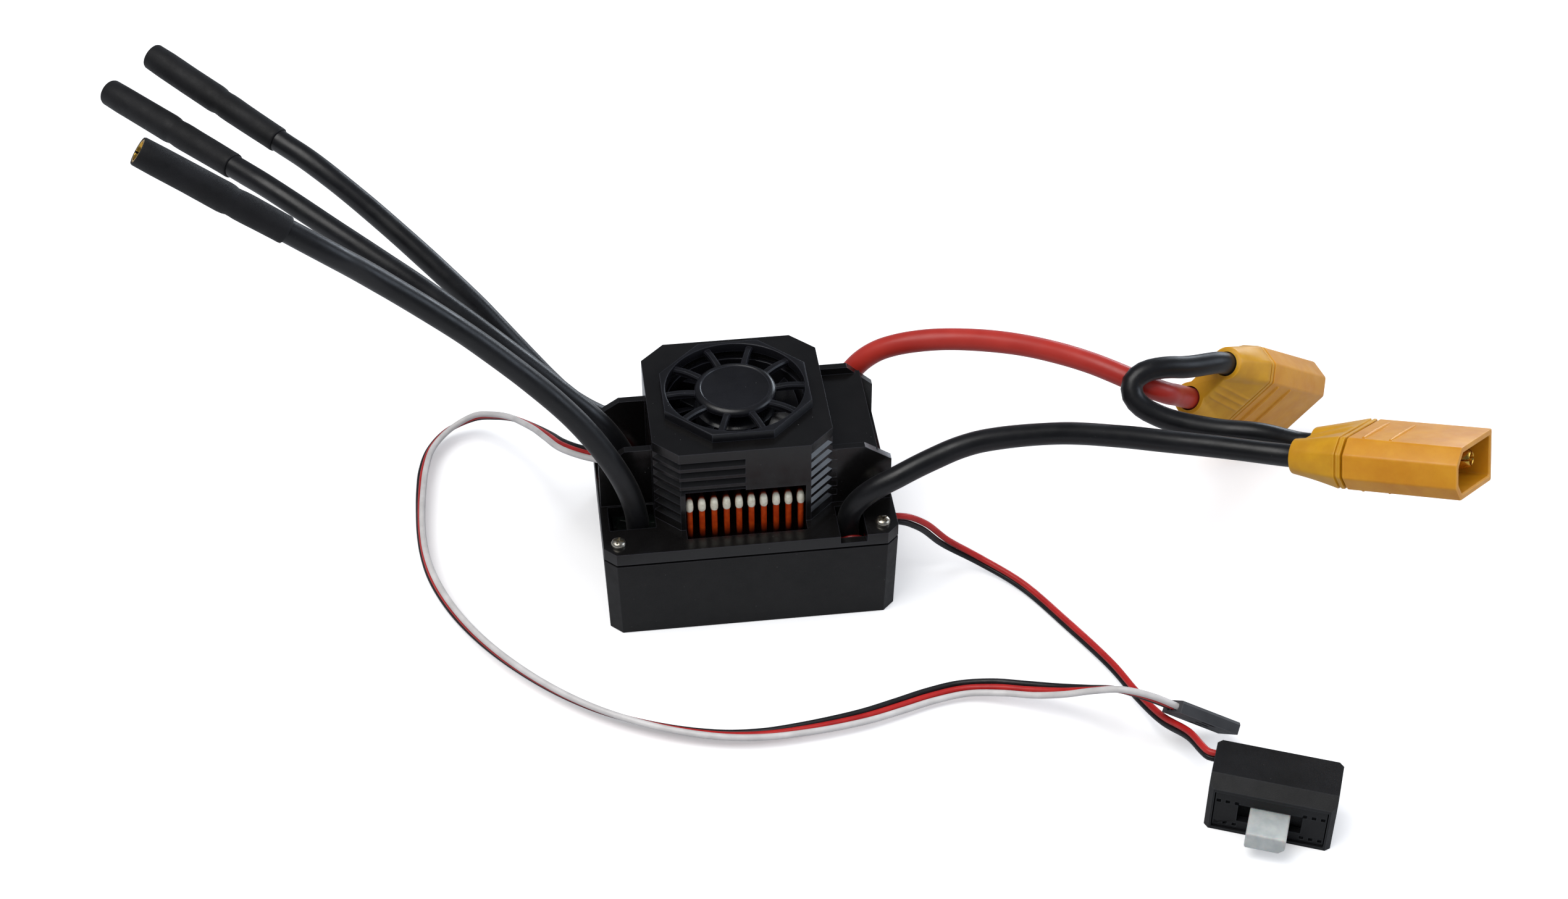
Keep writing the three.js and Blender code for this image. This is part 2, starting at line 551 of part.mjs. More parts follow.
function heavyLead(name, points, finish) {
  place(name, wire(spline(points), LEAD.radius, LEAD.sides, LEAD.steps), finish);
}

function batteryLeads() {
  const last = [-CONNECTOR.insert / 2, -CONNECTOR.insert];
  const red = intoCup(REAR_CONNECTOR, -1, [12, 5, ...last]);
  heavyLead("battery_wire_red", [...RED_ROUTE, ...red], MAT.leadRed);
  const black = intoCup(FRONT_CONNECTOR, -1, [3, ...last]);
  heavyLead("battery_wire_black", [...BLACK_ROUTE, ...black], MAT.leadBlack);
  const first = intoCup(FRONT_CONNECTOR, 1, [3, ...last]).reverse();
  const second = intoCup(REAR_CONNECTOR, 1, [2, ...last]);
  heavyLead("series_jumper_wire", [...first, ...JUMPER_ROUTE, ...second], MAT.leadBlack);
}

// The sideways direction of a ribbon that runs along `tangent` with a roll in degrees.
function ribbonSide(tangent, roll) {
  const level = new THREE.Vector3(-tangent.y, tangent.x, 0).normalize();
  const angle = THREE.MathUtils.degToRad(roll);
  const upward = tangent.clone().cross(level).normalize();
  return level.multiplyScalar(Math.cos(angle)).addScaledVector(upward, Math.sin(angle));
}

// The path of one wire of a ribbon, `shift` to the side of the ribbon's own route.
function besideRoute(route, shift) {
  const middle = spline(route);
  const rolls = new THREE.CatmullRomCurve3(route.map((point) => vector([point[3], 0, 0])), false, "catmullrom");
  const samples = 4 * (route.length - 1);
  const points = [];
  for (let i = 0; i <= samples; i++) {
    const t = i / samples;
    const side = ribbonSide(middle.getTangent(t), rolls.getPoint(t).x);
    points.push(middle.getPoint(t).addScaledVector(side, shift).toArray());
  }
  return spline(points);
}

function thinWire(name, route, shift, finish, size = THIN) {
  place(name, wire(besideRoute(route, shift), size.radius, size.sides, size.steps), finish);
}

function receiverLead() {
  const { at, along, roll } = PLUG_POSE;
  const run = straightRun(at, vector(along).normalize(), [9, 4, -PLUG.insert / 2, -PLUG.insert]);
  const route = [...RECEIVER_ROUTE, ...run.map((point) => [...point, roll])];
  thinWire("servo_wire_white", route, -THIN.pitch, MAT.wireWhite);
  thinWire("servo_wire_red", route, 0, MAT.wireRed);
  thinWire("servo_wire_black", route, THIN.pitch, MAT.wireBlack);
}

// Three-way plug: local X towards its open end, local Y from the white wire's socket to the black wire's.
function servoPlug() {
  const { length, width, thick, chamfer, insert } = PLUG;
  const [w, t] = [width / 2, thick / 2];
  const section = [[w - chamfer, t], [chamfer - w, t], [-w, t - chamfer], [-w, -t], [w, -t], [w, t - chamfer]];
  const body = bar(section, 0, length);
  const tools = [-1, 0, 1].flatMap((side) => {
    const y = side * 2.54;
    return [
      rod(THIN.radius + 0.2, -1, insert + 0.4, side * THIN.pitch, 0, 12),
      box(length - 8, length + 1, y - 0.45, y + 0.45, -0.45, 0.45),
      box(length - 7.5, length - 4.5, y - 0.6, y + 0.6, -t - 1, -t + 0.4),
    ];
  });
  const { at, along, roll } = PLUG_POSE;
  const across = ribbonSide(vector(along).normalize(), roll).toArray();
  place("servo_plug", cut(body, tools), MAT.plugGrey, framed({ at, along, across }));
}

function fanWires() {
  thinWire("fan_wire_red", FAN_WIRE_ROUTE, FAN_WIRE.pitch / 2, MAT.wireRed, FAN_WIRE);
  thinWire("fan_wire_black", FAN_WIRE_ROUTE, -FAN_WIRE.pitch / 2, MAT.wireBlack, FAN_WIRE);
}

// ---------------------------------------------------------------- battery connectors

// An outline across a connector, with its two edges at the negative side cut off.
function keyedOutline(width, thick, chamfer, negative) {
  const [w, t, c] = [width / 2, thick / 2, chamfer];
  const points = [[-w, -t], [w - c, -t], [w, c - t], [w, t - c], [w - c, t], [-w, t]];
  return negative > 0 ? points : points.map(([y, z]) => [-y, z]).reverse();
}

// Local X runs from the wire end to the mating end, local Y from the battery lead to the jumper.
function connector(name, pose) {
  const { width, thick, chamfer, capLength, gap, length, pitch } = CONNECTOR;
  const { cup, cupBore, web, wall, floor, pin, pinBore, insert } = CONNECTOR;
  const outlineIn = (inset) =>
    keyedOutline(width - 2 * inset, thick - 2 * inset, chamfer - 0.4 * inset, pose.negative);
  const frame = framed(pose);
  const sides = [-1, 1].map((side) => (side * pitch) / 2);

  const shell = bar(outlineIn(0), capLength + gap, length);
  const cavity = bar(outlineIn(wall), floor, length + 1);
  const bores = sides.map((y) => rod(pinBore, capLength - 1, floor + 1, y));
  place(name + "_connector_housing", cut(shell, [cavity, ...bores]), MAT.amber, frame);

  const tubes = sides.map((y) => rod(cup, 0, capLength, y, 0, 24));
  const bridge = box(0, capLength, -pitch / 2, pitch / 2, -web, web);
  const slim = keyedOutline(pitch + 2 * cup + 0.4, 2 * cup + 0.6, chamfer / 2, pose.negative);
  const collar = alongX(loft(slim, outlineIn(0), 1.4, capLength - 2.2));
  const skirt = bar(outlineIn(0), capLength - 2.2, capLength - 1.3);
  const groove = bar(outlineIn(0.5), capLength - 1.4, capLength - 0.7);
  const flange = bar(outlineIn(0), capLength - 0.8, capLength);
  const cap = joined([...tubes, bridge, collar, skirt, groove, flange]);
  place(name + "_connector_cap", cut(cap, sides.map((y) => rod(cupBore, -1, length, y))), MAT.amberDark, frame);

  sides.forEach((y, index) => {
    const solder = insert + 0.4;
    const contact = turned([
      [0, solder + 2.6], [pin - 0.7, solder + 2.6], [pin - 0.7, solder], [pin, solder], [pin, length - 3.4],
      [pin - 0.7, length - 2.4], [0, length - 2.4],
    ], 20);
    place(name + "_connector_pin_" + (index + 1), moved(alongX(contact), 0, y, 0), MAT.gold, frame);
  });
}

// ---------------------------------------------------------------- power switch

// A box with cut-off upright edges and a bevelled front top edge, open at the front for its cover plate.
function switchBody() {
  const { length, depth, height, wall, corner, bevel, ledge, mouthLow, mouthHigh } = SWITCH;
  const [l, d] = [length / 2, depth / 2];
  const block = prism(chamfered(length, depth, corner), 0, height);
  const slope = (height - ledge) / bevel;
  const bevelCut = bar([[-d - 1, ledge - slope], [bevel - d, height], [bevel - d, height + 1], [-d - 1, height + 1]],
    -l - 1, l + 1);
  const cavity = box(wall - l, l - wall, -d - 1, d - wall, mouthLow, mouthHigh);
  const leads = [-1, 1].map((side) =>
    rod(THIN.radius + 0.25, -l - 1, wall - l + 1, SWITCH_LEAD.y, SWITCH_LEAD.z + side * SWITCH_LEAD.pitch / 2, 12));
  return cut(block, [bevelCut, cavity, ...leads]);
}

// The plate behind the open front, with the knob's slot and four rows of three blind vents.
function switchCover() {
  const { length, depth, wall, travel, plate, recess, mouthLow, mouthHigh } = SWITCH;
  const gap = 0.2;
  const front = recess - depth / 2;
  const reach = length / 2 - wall - gap;
  const face = box(-reach, reach, front, front + plate, mouthLow + gap, mouthHigh - gap);
  const slotHalf = KNOB.width / 2 + travel + KNOB.clearance;
  const slotZ = KNOB.height / 2 + KNOB.clearance;
  const slot = box(-slotHalf, slotHalf, front - 1, front + plate + 1, KNOB.z - slotZ, KNOB.z + slotZ);
  const vents = [-1, 1].flatMap((side) => PIP.rows.flatMap((z) => [-1, 0, 1].map((step) => {
    const x = side * PIP.group + step * PIP.pitch;
    const half = PIP.size / 2;
    return box(x - half, x + half, front - 1, front + 0.5, z - half, z + half);
  })));
  return cut(face, [slot, ...vents]);
}

// The knob and, behind the cover plate, the wider carriage that keeps it in.
function switchSlider() {
  const { depth, plate, recess } = SWITCH;
  const { width, height, reach, z, carriage, clearance } = KNOB;
  const tip = -depth / 2 - reach;
  const back = recess - depth / 2 + plate + clearance;
  const [low, high] = [z - height / 2, z + height / 2];
  const profile = [[tip, low + 0.3], [tip + 0.3, low], [back + 0.5, low], [back + 0.5, high], [tip + 0.3, high],
    [tip, high - 0.3]];
  return bar(profile, -width / 2, width / 2).add(box(-carriage / 2, carriage / 2, back, back + 2, z - 2.8, z + 3.2));
}

function powerSwitch() {
  const frame = new THREE.Group();
  frame.position.set(...SWITCH_POSE.at);
  frame.rotation.z = THREE.MathUtils.degToRad(SWITCH_POSE.turn);
  group.add(frame);
  place("switch_body", switchBody(), MAT.switchBlack, frame);
  place("switch_cover", switchCover(), MAT.switchBlack, frame);
  place("switch_slider", switchSlider(), MAT.knob, frame);

  frame.updateMatrixWorld(true);
  const entry = new THREE.Vector3(-SWITCH.length / 2, SWITCH_LEAD.y, SWITCH_LEAD.z).applyMatrix4(frame.matrixWorld);
  const inward = new THREE.Vector3(1, 0, 0).applyEuler(frame.rotation);
  const run = straightRun(entry.toArray(), inward, [1.2, -0.6, -1.2]);
  const route = [...SWITCH_ROUTE, ...run.map((point) => [...point, 90])];
  thinWire("switch_wire_red", route, SWITCH_LEAD.pitch / 2, MAT.wireRed);
  thinWire("switch_wire_black", route, -SWITCH_LEAD.pitch / 2, MAT.wireBlack);
}

// ---------------------------------------------------------------- assembly

place("lower_case", lowerCase(), MAT.caseBlack);
place("case_seal", caseSeal(), MAT.sealRubber);
place("upper_cover", upperCover(), MAT.caseBlack);
screwSpots.forEach(([x, y], index) => {
  place("case_screw_" + (index + 1), caseScrew(), MAT.nickel).position.set(x, y, DECK.top);
});

place("fan_guard", fanGuard(), MAT.fanBlack);
place("fan_frame", fanFrame(), MAT.fanBlack);
place("fan_rotor", fanRotor(), MAT.fanBlack);
place("fan_magnet_ring", ring(MOTOR.magnetIn, MOTOR.magnetOut, ...MOTOR.magnetZ), MAT.magnet);
place("fan_shaft", moved(cylinder(MOTOR.shaft, ...MOTOR.shaftZ, 0, 0, 16), TOWER.x, 0, 0), MAT.steel);
place("fan_bearing", ring(MOTOR.bearingBore, MOTOR.tubeBore - 0.03, ...MOTOR.bearingZ), MAT.brass);
place("fan_stator", fanStator(), MAT.stator);
fanWires();

place("heatsink", heatsink(), MAT.anodised);
place("thermal_pad", thermalPad(), MAT.thermal);
place("power_board", board(...BOARD.powerSize, BOARD.power, BOARD.powerThick), MAT.boardGreen);
place("control_board", board(...BOARD.controlSize, BOARD.control, BOARD.controlThick), MAT.boardGreen);
place("board_header", boardHeader(), MAT.chip);
place("microcontroller", microcontroller(), MAT.chip);
for (let i = 0; i < 6; i++) place("mosfet_" + (i + 1), mosfet(i % 3, Math.floor(i / 3)), MAT.chip);
for (let i = 0; i < 3; i++) place("capacitor_" + (i + 1), capacitor(i), MAT.capacitor);

for (const [letter, points] of Object.entries(MOTOR_ROUTES)) motorLead(letter, points);
batteryLeads();
connector("front", FRONT_CONNECTOR);
connector("rear", REAR_CONNECTOR);
receiverLead();
servoPlug();
powerSwitch();

export default group;
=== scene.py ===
"""Looks of an electronic speed controller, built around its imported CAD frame. Metres, +Z up."""

import json
import math

import bmesh
import bpy
import numpy as np
from mathutils import Matrix, Vector


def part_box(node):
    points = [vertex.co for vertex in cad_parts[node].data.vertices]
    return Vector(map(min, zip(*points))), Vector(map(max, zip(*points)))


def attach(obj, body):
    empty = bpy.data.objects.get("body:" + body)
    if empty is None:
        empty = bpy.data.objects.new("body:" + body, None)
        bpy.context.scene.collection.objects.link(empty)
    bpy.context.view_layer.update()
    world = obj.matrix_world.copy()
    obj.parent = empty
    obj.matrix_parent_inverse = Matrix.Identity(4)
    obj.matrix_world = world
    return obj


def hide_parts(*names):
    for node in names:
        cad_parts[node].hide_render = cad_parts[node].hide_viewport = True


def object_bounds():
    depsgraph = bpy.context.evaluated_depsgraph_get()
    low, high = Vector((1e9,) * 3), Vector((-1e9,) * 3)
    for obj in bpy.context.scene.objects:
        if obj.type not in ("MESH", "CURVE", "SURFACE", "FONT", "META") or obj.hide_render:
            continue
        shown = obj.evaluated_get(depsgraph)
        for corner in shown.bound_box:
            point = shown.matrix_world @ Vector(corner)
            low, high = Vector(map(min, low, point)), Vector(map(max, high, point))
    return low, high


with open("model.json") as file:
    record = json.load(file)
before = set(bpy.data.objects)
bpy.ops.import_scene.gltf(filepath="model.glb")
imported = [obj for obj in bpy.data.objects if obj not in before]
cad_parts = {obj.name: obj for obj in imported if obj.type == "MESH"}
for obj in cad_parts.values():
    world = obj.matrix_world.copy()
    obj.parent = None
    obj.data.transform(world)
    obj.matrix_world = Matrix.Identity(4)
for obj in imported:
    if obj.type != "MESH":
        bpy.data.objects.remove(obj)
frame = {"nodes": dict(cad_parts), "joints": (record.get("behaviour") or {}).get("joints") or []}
cad_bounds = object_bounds()

MM = 0.001
BODY = "controller"
ROTOR = "fan_rotor"
SLIDER = "switch_slider"

# -------- materials: short ways to write nodes


class Shader:
    """A Principled material and short calls that add procedural nodes to it. Sizes are in metres."""

    def __init__(self, name, **values):
        self.material = bpy.data.materials.new(name)
        self.material.use_nodes = True
        self.tree = self.material.node_tree
        self.surface = self.tree.nodes["Principled BSDF"]
        self.place = self.tree.nodes.new("ShaderNodeTexCoord").outputs["Object"]
        self.heights = []
        for key, value in values.items():
            self.surface.inputs[key.replace("_", " ")].default_value = value

    def node(self, kind, links=None, **settings):
        made = self.tree.nodes.new("ShaderNode" + kind)
        for key, value in settings.items():
            setattr(made, key, value)
        for key, value in (links or {}).items():
            if isinstance(value, bpy.types.NodeSocket):
                self.tree.links.new(value, made.inputs[key])
            else:
                made.inputs[key].default_value = value
        return made

    def set(self, key, value):
        if isinstance(value, bpy.types.NodeSocket):
            self.tree.links.new(value, self.surface.inputs[key])
        else:
            self.surface.inputs[key].default_value = value

    def noise(self, size, detail=3.0, rough=0.55, stretch=None):
        """Soft noise whose blobs are about `size` across; `stretch` scales the three directions."""
        where = self.place
        if stretch:
            where = self.node("Mapping", {"Vector": where, "Scale": stretch}).outputs[0]
        links = {"Vector": where, "Scale": 1 / size, "Detail": detail, "Roughness": rough}
        return self.node("TexNoise", links).outputs["Fac"]

    def cells(self, size, feature="F1"):
        links = {"Vector": self.place, "Scale": 1 / size}
        return self.node("TexVoronoi", links, feature=feature).outputs["Distance"]

    def remap(self, value, low, high, to_low=0.0, to_high=1.0):
        links = {"Value": value, "From Min": low, "From Max": high, "To Min": to_low, "To Max": to_high}
        return self.node("MapRange", links).outputs[0]

    def math(self, operation, a, b=0.0):
        return self.node("Math", {0: a, 1: b}, operation=operation).outputs[0]

    def mix(self, share, a, b):
        """Colour a where `share` is 0, colour b where it is 1."""
        made = self.node("Mix", data_type="RGBA")
        for socket, value in ((made.inputs[0], share), (made.inputs[6], a), (made.inputs[7], b)):
            if isinstance(value, bpy.types.NodeSocket):
                self.tree.links.new(value, socket)
            else:
                socket.default_value = value
        return made.outputs[2]

    def clouds(self, size, detail, dark, light, rough=0.55):
        """A colour that drifts from `dark` to `light` in blobs of about `size`."""
        return self.mix(self.remap(self.noise(size, detail, rough), 0.35, 0.65), dark, light)

    def gloss(self, size, detail, low, high, rough=0.55):
        """Sets a roughness that drifts from `low` to `high` in blobs of about `size`."""
        self.set("Roughness", self.remap(self.noise(size, detail, rough), 0.3, 0.7, low, high))

    def axis(self, name):
        """The X, Y or Z of the point in the part's own frame."""
        return self.node("SeparateXYZ", {0: self.place}).outputs[name]

    def edges(self, radius, sharpness=0.06):
        """1 on convex and concave edges within `radius`, 0 on flat faces."""
        rounded = self.node("Bevel", {"Radius": radius}, samples=4).outputs[0]
        flat = self.node("NewGeometry").outputs["Normal"]
        same = self.node("VectorMath", {0: rounded, 1: flat}, operation="DOT_PRODUCT").outputs["Value"]
        return self.remap(same, 1.0, 1.0 - sharpness)

    def relief(self, height, depth):
        """Adds a bump whose full height is `depth`."""
        self.heights.append((height, depth))

    def finish(self):
        previous = None
        for height, depth in self.heights:
            links = {"Height": height, "Distance": depth, "Strength": 1.0}
            if previous:
                links["Normal"] = previous
            previous = self.node("Bump", links).outputs[0]
        if previous:
            self.set("Normal", previous)
        return self.material


def rgb(red, green, blue):
    """Screen colour, 0 to 255, as the linear colour that nodes use."""
    def linear(value):
        value /= 255
        return value / 12.92 if value <= 0.04045 else ((value + 0.055) / 1.055) ** 2.4
    return (linear(red), linear(green), linear(blue), 1.0)


def moulded_plastic(name, dark, light, roughness, specular, grain=0.02 * MM, dust=0.0, worn=None):
    """Injection-moulded plastic: fine spark grain, cloudy gloss, edges lightened by a painted highlight and
    a few dust specks.
    """
    s = Shader(name, Specular_IOR_Level=specular)
    colour = s.clouds(9 * MM, 4, dark, light)
    # Painted highlight: convex and concave edges are mixed towards a paler, bluish colour as though
    # catching light.
    if worn:
        colour = s.mix(s.math("MULTIPLY", s.edges(0.22 * MM), 0.5), colour, worn)
    if dust:
        specks = s.remap(s.cells(1.6 * MM), 0.05, 0.03)
        scattered = s.math("MULTIPLY", specks, s.remap(s.noise(5 * MM, 2), 0.52, 0.6))
        colour = s.mix(s.math("MULTIPLY", scattered, dust), colour, rgb(150, 150, 150))
    s.set("Base Color", colour)
    s.gloss(3 * MM, 5, roughness - 0.06, roughness + 0.08, rough=0.7)
    s.relief(s.noise(0.22 * MM, 3, 0.7), grain)
    s.relief(s.noise(6 * MM, 2), 0.03 * MM)
    return s.finish()


def silicone(name, dark, light, roughness):
    """Soft silicone insulation: satin, slightly dusty, with faint dents along its length."""
    s = Shader(name, Specular_IOR_Level=0.42, Sheen_Weight=0.06, Sheen_Roughness=0.4)
    colour = s.clouds(14 * MM, 3, dark, light)
    lint = s.math("MULTIPLY", s.remap(s.noise(0.5 * MM, 2, 0.8), 0.68, 0.8), 0.12)
    s.set("Base Color", s.mix(lint, colour, rgb(140, 138, 136)))
    s.gloss(4 * MM, 5, roughness - 0.07, roughness + 0.1, rough=0.7)
    s.relief(s.noise(0.3 * MM, 3, 0.7), 0.012 * MM)
    s.relief(s.noise(7 * MM, 2), 0.08 * MM)
    return s.finish()


def heat_shrink(name):
    """Shrunk tube: duller than the silicone, with soft dents."""
    s = Shader(name, Specular_IOR_Level=0.3, Sheen_Weight=0.04, Sheen_Roughness=0.5)
    s.set("Base Color", s.clouds(8 * MM, 4, rgb(13, 13, 15), rgb(21, 21, 24)))
    s.gloss(2 * MM, 5, 0.5, 0.68, rough=0.7)
    s.relief(s.noise(0.35 * MM, 4, 0.8), 0.03 * MM)
    s.relief(s.noise(3.5 * MM, 2), 0.12 * MM)
    return s.finish()


def metal(name, colour, tarnish, roughness):
    """Plated or bare metal with fine scratches, uneven gloss and a duller tone in patches."""
    s = Shader(name, Metallic=1.0)
    scratch = 0.4 * MM
    patches = s.remap(s.noise(1.4 * MM, 5, 0.7), 0.45, 0.72)
    s.set("Base Color", s.mix(s.math("MULTIPLY", patches, 0.7), colour, tarnish))
    s.gloss(scratch, 5, roughness - 0.07, roughness + 0.14, rough=0.8)
    s.relief(s.noise(scratch, 4, 0.7, stretch=(1, 6, 1)), 0.008 * MM)
    return s.finish()


def amber_nylon(name, base, deep, edge_highlight_tone):
    """Translucent orange nylon with flow clouds, a waxy gloss and a painted highlight that pales its
    slightly rounded edges.
    """
    s = Shader(name, Specular_IOR_Level=0.45, Subsurface_Weight=0.15, Subsurface_Scale=0.8 * MM)
    s.surface.inputs["Subsurface Radius"].default_value = (1.0, 0.45, 0.12)
    colour = s.clouds(7 * MM, 4, base, deep, rough=0.6)
    # Painted highlight: convex and concave edges are mixed towards a paler amber as though catching light.
    s.set("Base Color", s.mix(s.math("MULTIPLY", s.edges(0.3 * MM), 0.55), colour, edge_highlight_tone))
    s.gloss(2.5 * MM, 4, 0.34, 0.46)
    s.relief(s.noise(0.3 * MM, 3), 0.012 * MM)
    s.relief(s.noise(5 * MM, 2), 0.05 * MM)
    return s.finish()


def thin_insulation(name, dark, light):
    """Vinyl insulation of the thin wires: satin and slightly uneven."""
    s = Shader(name, Specular_IOR_Level=0.45)
    s.set("Base Color", s.clouds(5 * MM, 4, dark, light))
    s.gloss(1.5 * MM, 4, 0.34, 0.48)
    s.relief(s.noise(0.4 * MM, 3), 0.02 * MM)
    s.relief(s.noise(2.5 * MM, 2), 0.05 * MM)
    return s.finish()


def anodised_fins(name, tip_bottom, front):
    """Orange anodising, darkened by painted shade low down and back between the fins; the fins' upper tips
    are bare and whitish.
    """
    s = Shader(name)
    ragged = s.math("ADD", s.axis("Z"), s.remap(s.noise(0.7 * MM, 4), 0, 1, -0.25 * MM, 0.25 * MM))
    high = s.remap(ragged, tip_bottom - 0.1 * MM, tip_bottom + 0.1 * MM)
    forward = s.remap(s.axis("Y"), front + 1.3 * MM, front + 0.8 * MM)
    bare = s.math("MULTIPLY", high, forward)
    orange = s.clouds(1.2 * MM, 4, rgb(226, 82, 20), rgb(204, 62, 12))
    # Painted shade: the orange turns near black towards the fins' base and back into the gaps between them.
    height = s.remap(s.axis("Z"), tip_bottom - 6.8 * MM, tip_bottom - 4.4 * MM)
    near = s.remap(s.axis("Y"), front + 1.7 * MM, front + 0.8 * MM)
    shaded = s.mix(s.math("MULTIPLY", height, near), rgb(40, 8, 3), orange)
    white = s.mix(s.remap(s.noise(0.6 * MM, 3), 0.35, 0.7), rgb(250, 246, 230), rgb(226, 220, 198))
    s.set("Base Color", s.mix(bare, shaded, white))
    s.set("Metallic", s.remap(bare, 0, 1, 0.3, 0.1))
    s.gloss(0.8 * MM, 4, 0.36, 0.5)
    s.relief(s.noise(0.5 * MM, 4, stretch=(1, 1, 0.25)), 0.015 * MM)
    return s.finish()


def circuit_board(name):
    """Green solder mask over copper tracks, with tinned pads."""
    s = Shader(name, Specular_IOR_Level=0.5)
    tracks = s.remap(s.cells(3.2 * MM, "DISTANCE_TO_EDGE"), 0.1, 0.07)
    mask = s.mix(tracks, rgb(4, 12, 9), rgb(9, 24, 17))
    pads = s.remap(s.cells(2.1 * MM), 0.17, 0.14)
    s.set("Base Color", s.mix(pads, mask, rgb(120, 118, 108)))
    s.set("Metallic", s.math("MULTIPLY", pads, 0.8))
    s.gloss(1 * MM, 3, 0.3, 0.42)
    s.relief(s.math("ADD", tracks, pads), 0.04 * MM)
    return s.finish()


def laminations(name):
    """Motor core: stacked sheets with a copper tint from the windings."""
    s = Shader(name, Metallic=0.7)
    links = {"Vector": s.place, "Scale": 1 / (2.2 * MM)}
    sheets = s.node("TexWave", links, bands_direction="Z").outputs["Fac"]
    s.set("Base Color", s.mix(sheets, rgb(120, 96, 60), rgb(182, 118, 62)))
    s.gloss(0.8 * MM, 3, 0.35, 0.55)
    s.relief(sheets, 0.03 * MM)
    return s.finish()


def capacitor_sleeve(name, top):
    """Shrink sleeve of a capacitor, with its bare aluminium vent above `top`."""
    s = Shader(name, Specular_IOR_Level=0.45)
    bare = s.remap(s.axis("Z"), top - 0.1 * MM, top)
    sleeve = s.clouds(3 * MM, 3, rgb(24, 28, 44), rgb(36, 42, 64))
    s.set("Base Color", s.mix(bare, sleeve, rgb(190, 190, 192)))
    s.set("Metallic", bare)
    s.gloss(1 * MM, 4, 0.28, 0.42)
    s.relief(s.noise(0.5 * MM, 3), 0.02 * MM)
    return s.finish()


def milky_nylon(name):
    """Translucent grey-white nylon of the switch's knob."""
    s = Shader(name, Specular_IOR_Level=0.45, Subsurface_Weight=0.4, Subsurface_Scale=1.5 * MM)
    s.set("Base Color", s.clouds(2.5 * MM, 4, rgb(176, 182, 182), rgb(196, 200, 198)))
    s.gloss(1 * MM, 4, 0.34, 0.5)
    s.relief(s.noise(0.3 * MM, 3), 0.015 * MM)
    return s.finish()


FINISH = {}


def add_finish(kind, name, *tones, **settings):
    """Makes a finish and keeps it under its name."""
    FINISH[name] = kind(name, *tones, **settings)


# The paler edge colours given to the plastics below are painted highlights.
add_finish(moulded_plastic, "case_black", rgb(17, 16, 16), rgb(22, 21, 21), 0.42, 0.3, dust=0.4,
           worn=rgb(56, 56, 62))
add_finish(moulded_plastic, "deck_black", rgb(14, 13, 13), rgb(19, 18, 18), 0.2, 0.5, dust=0.5,
           worn=rgb(60, 60, 68), grain=0.006 * MM)
add_finish(moulded_plastic, "fan_black", rgb(15, 15, 18), rgb(21, 21, 25), 0.3, 0.42, dust=0.4,
           worn=rgb(70, 72, 82), grain=0.01 * MM)
# The seal's finish also colours the switch carriage, as painted shade in its slot.
add_finish(moulded_plastic, "seal_rubber", rgb(9, 9, 9), rgb(15, 15, 15), 0.75, 0.15, grain=0.04 * MM)
add_finish(moulded_plastic, "switch_black", rgb(15, 15, 16), rgb(21, 21, 23), 0.44, 0.32, dust=0.3,
           worn=rgb(62, 66, 70))
add_finish(moulded_plastic, "plug_grey", rgb(50, 51, 54), rgb(64, 65, 68), 0.5, 0.35,
           worn=rgb(100, 101, 104))
add_finish(moulded_plastic, "chip_black", rgb(22, 22, 24), rgb(32, 32, 35), 0.55, 0.3, grain=0.03 * MM)
add_finish(moulded_plastic, "thermal", rgb(120, 130, 142), rgb(150, 158, 168), 0.8, 0.2, grain=0.05 * MM)
add_finish(metal, "magnet", rgb(88, 86, 84), rgb(56, 54, 52), 0.55)
add_finish(metal, "nickel", rgb(206, 200, 186), rgb(142, 132, 116), 0.27)
add_finish(metal, "steel", rgb(176, 178, 182), rgb(130, 130, 134), 0.25)
add_finish(metal, "brass", rgb(196, 160, 92), rgb(150, 116, 62), 0.32)
add_finish(metal, "gold", rgb(232, 188, 88), rgb(176, 132, 48), 0.22)
add_finish(laminations, "stator")
add_finish(circuit_board, "board_green")
add_finish(capacitor_sleeve, "capacitor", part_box("capacitor_1")[1].z - 0.3 * MM)
add_finish(silicone, "lead_black", rgb(12, 12, 14), rgb(19, 19, 22), 0.36)
add_finish(silicone, "lead_red", rgb(166, 38, 30), rgb(184, 50, 40), 0.36)
add_finish(heat_shrink, "sleeve")
# The third colour of each amber finish is its painted edge highlight.
add_finish(amber_nylon, "amber", rgb(214, 148, 24), rgb(202, 132, 12), rgb(236, 180, 84))
add_finish(amber_nylon, "amber_dark", rgb(210, 154, 20), rgb(194, 136, 10), rgb(232, 182, 72))
add_finish(thin_insulation, "wire_white", rgb(196, 193, 192), rgb(216, 213, 212))
add_finish(thin_insulation, "wire_red", rgb(172, 22, 22), rgb(192, 34, 30))
add_finish(thin_insulation, "fan_red", rgb(110, 12, 12), rgb(128, 18, 16))
add_finish(thin_insulation, "wire_black", rgb(20, 19, 21), rgb(32, 31, 34))
add_finish(milky_nylon, "knob")

# -------- meshes: making, cutting and dressing


def tidy_mesh(mesh):
    """Joins points that coincide and turns every face outwards."""
    bm = bmesh.new()
    bm.from_mesh(mesh)
    bmesh.ops.remove_doubles(bm, verts=bm.verts, dist=0.001 * MM)
    bmesh.ops.recalc_face_normals(bm, faces=bm.faces)
    bm.to_mesh(mesh)
    bm.free()


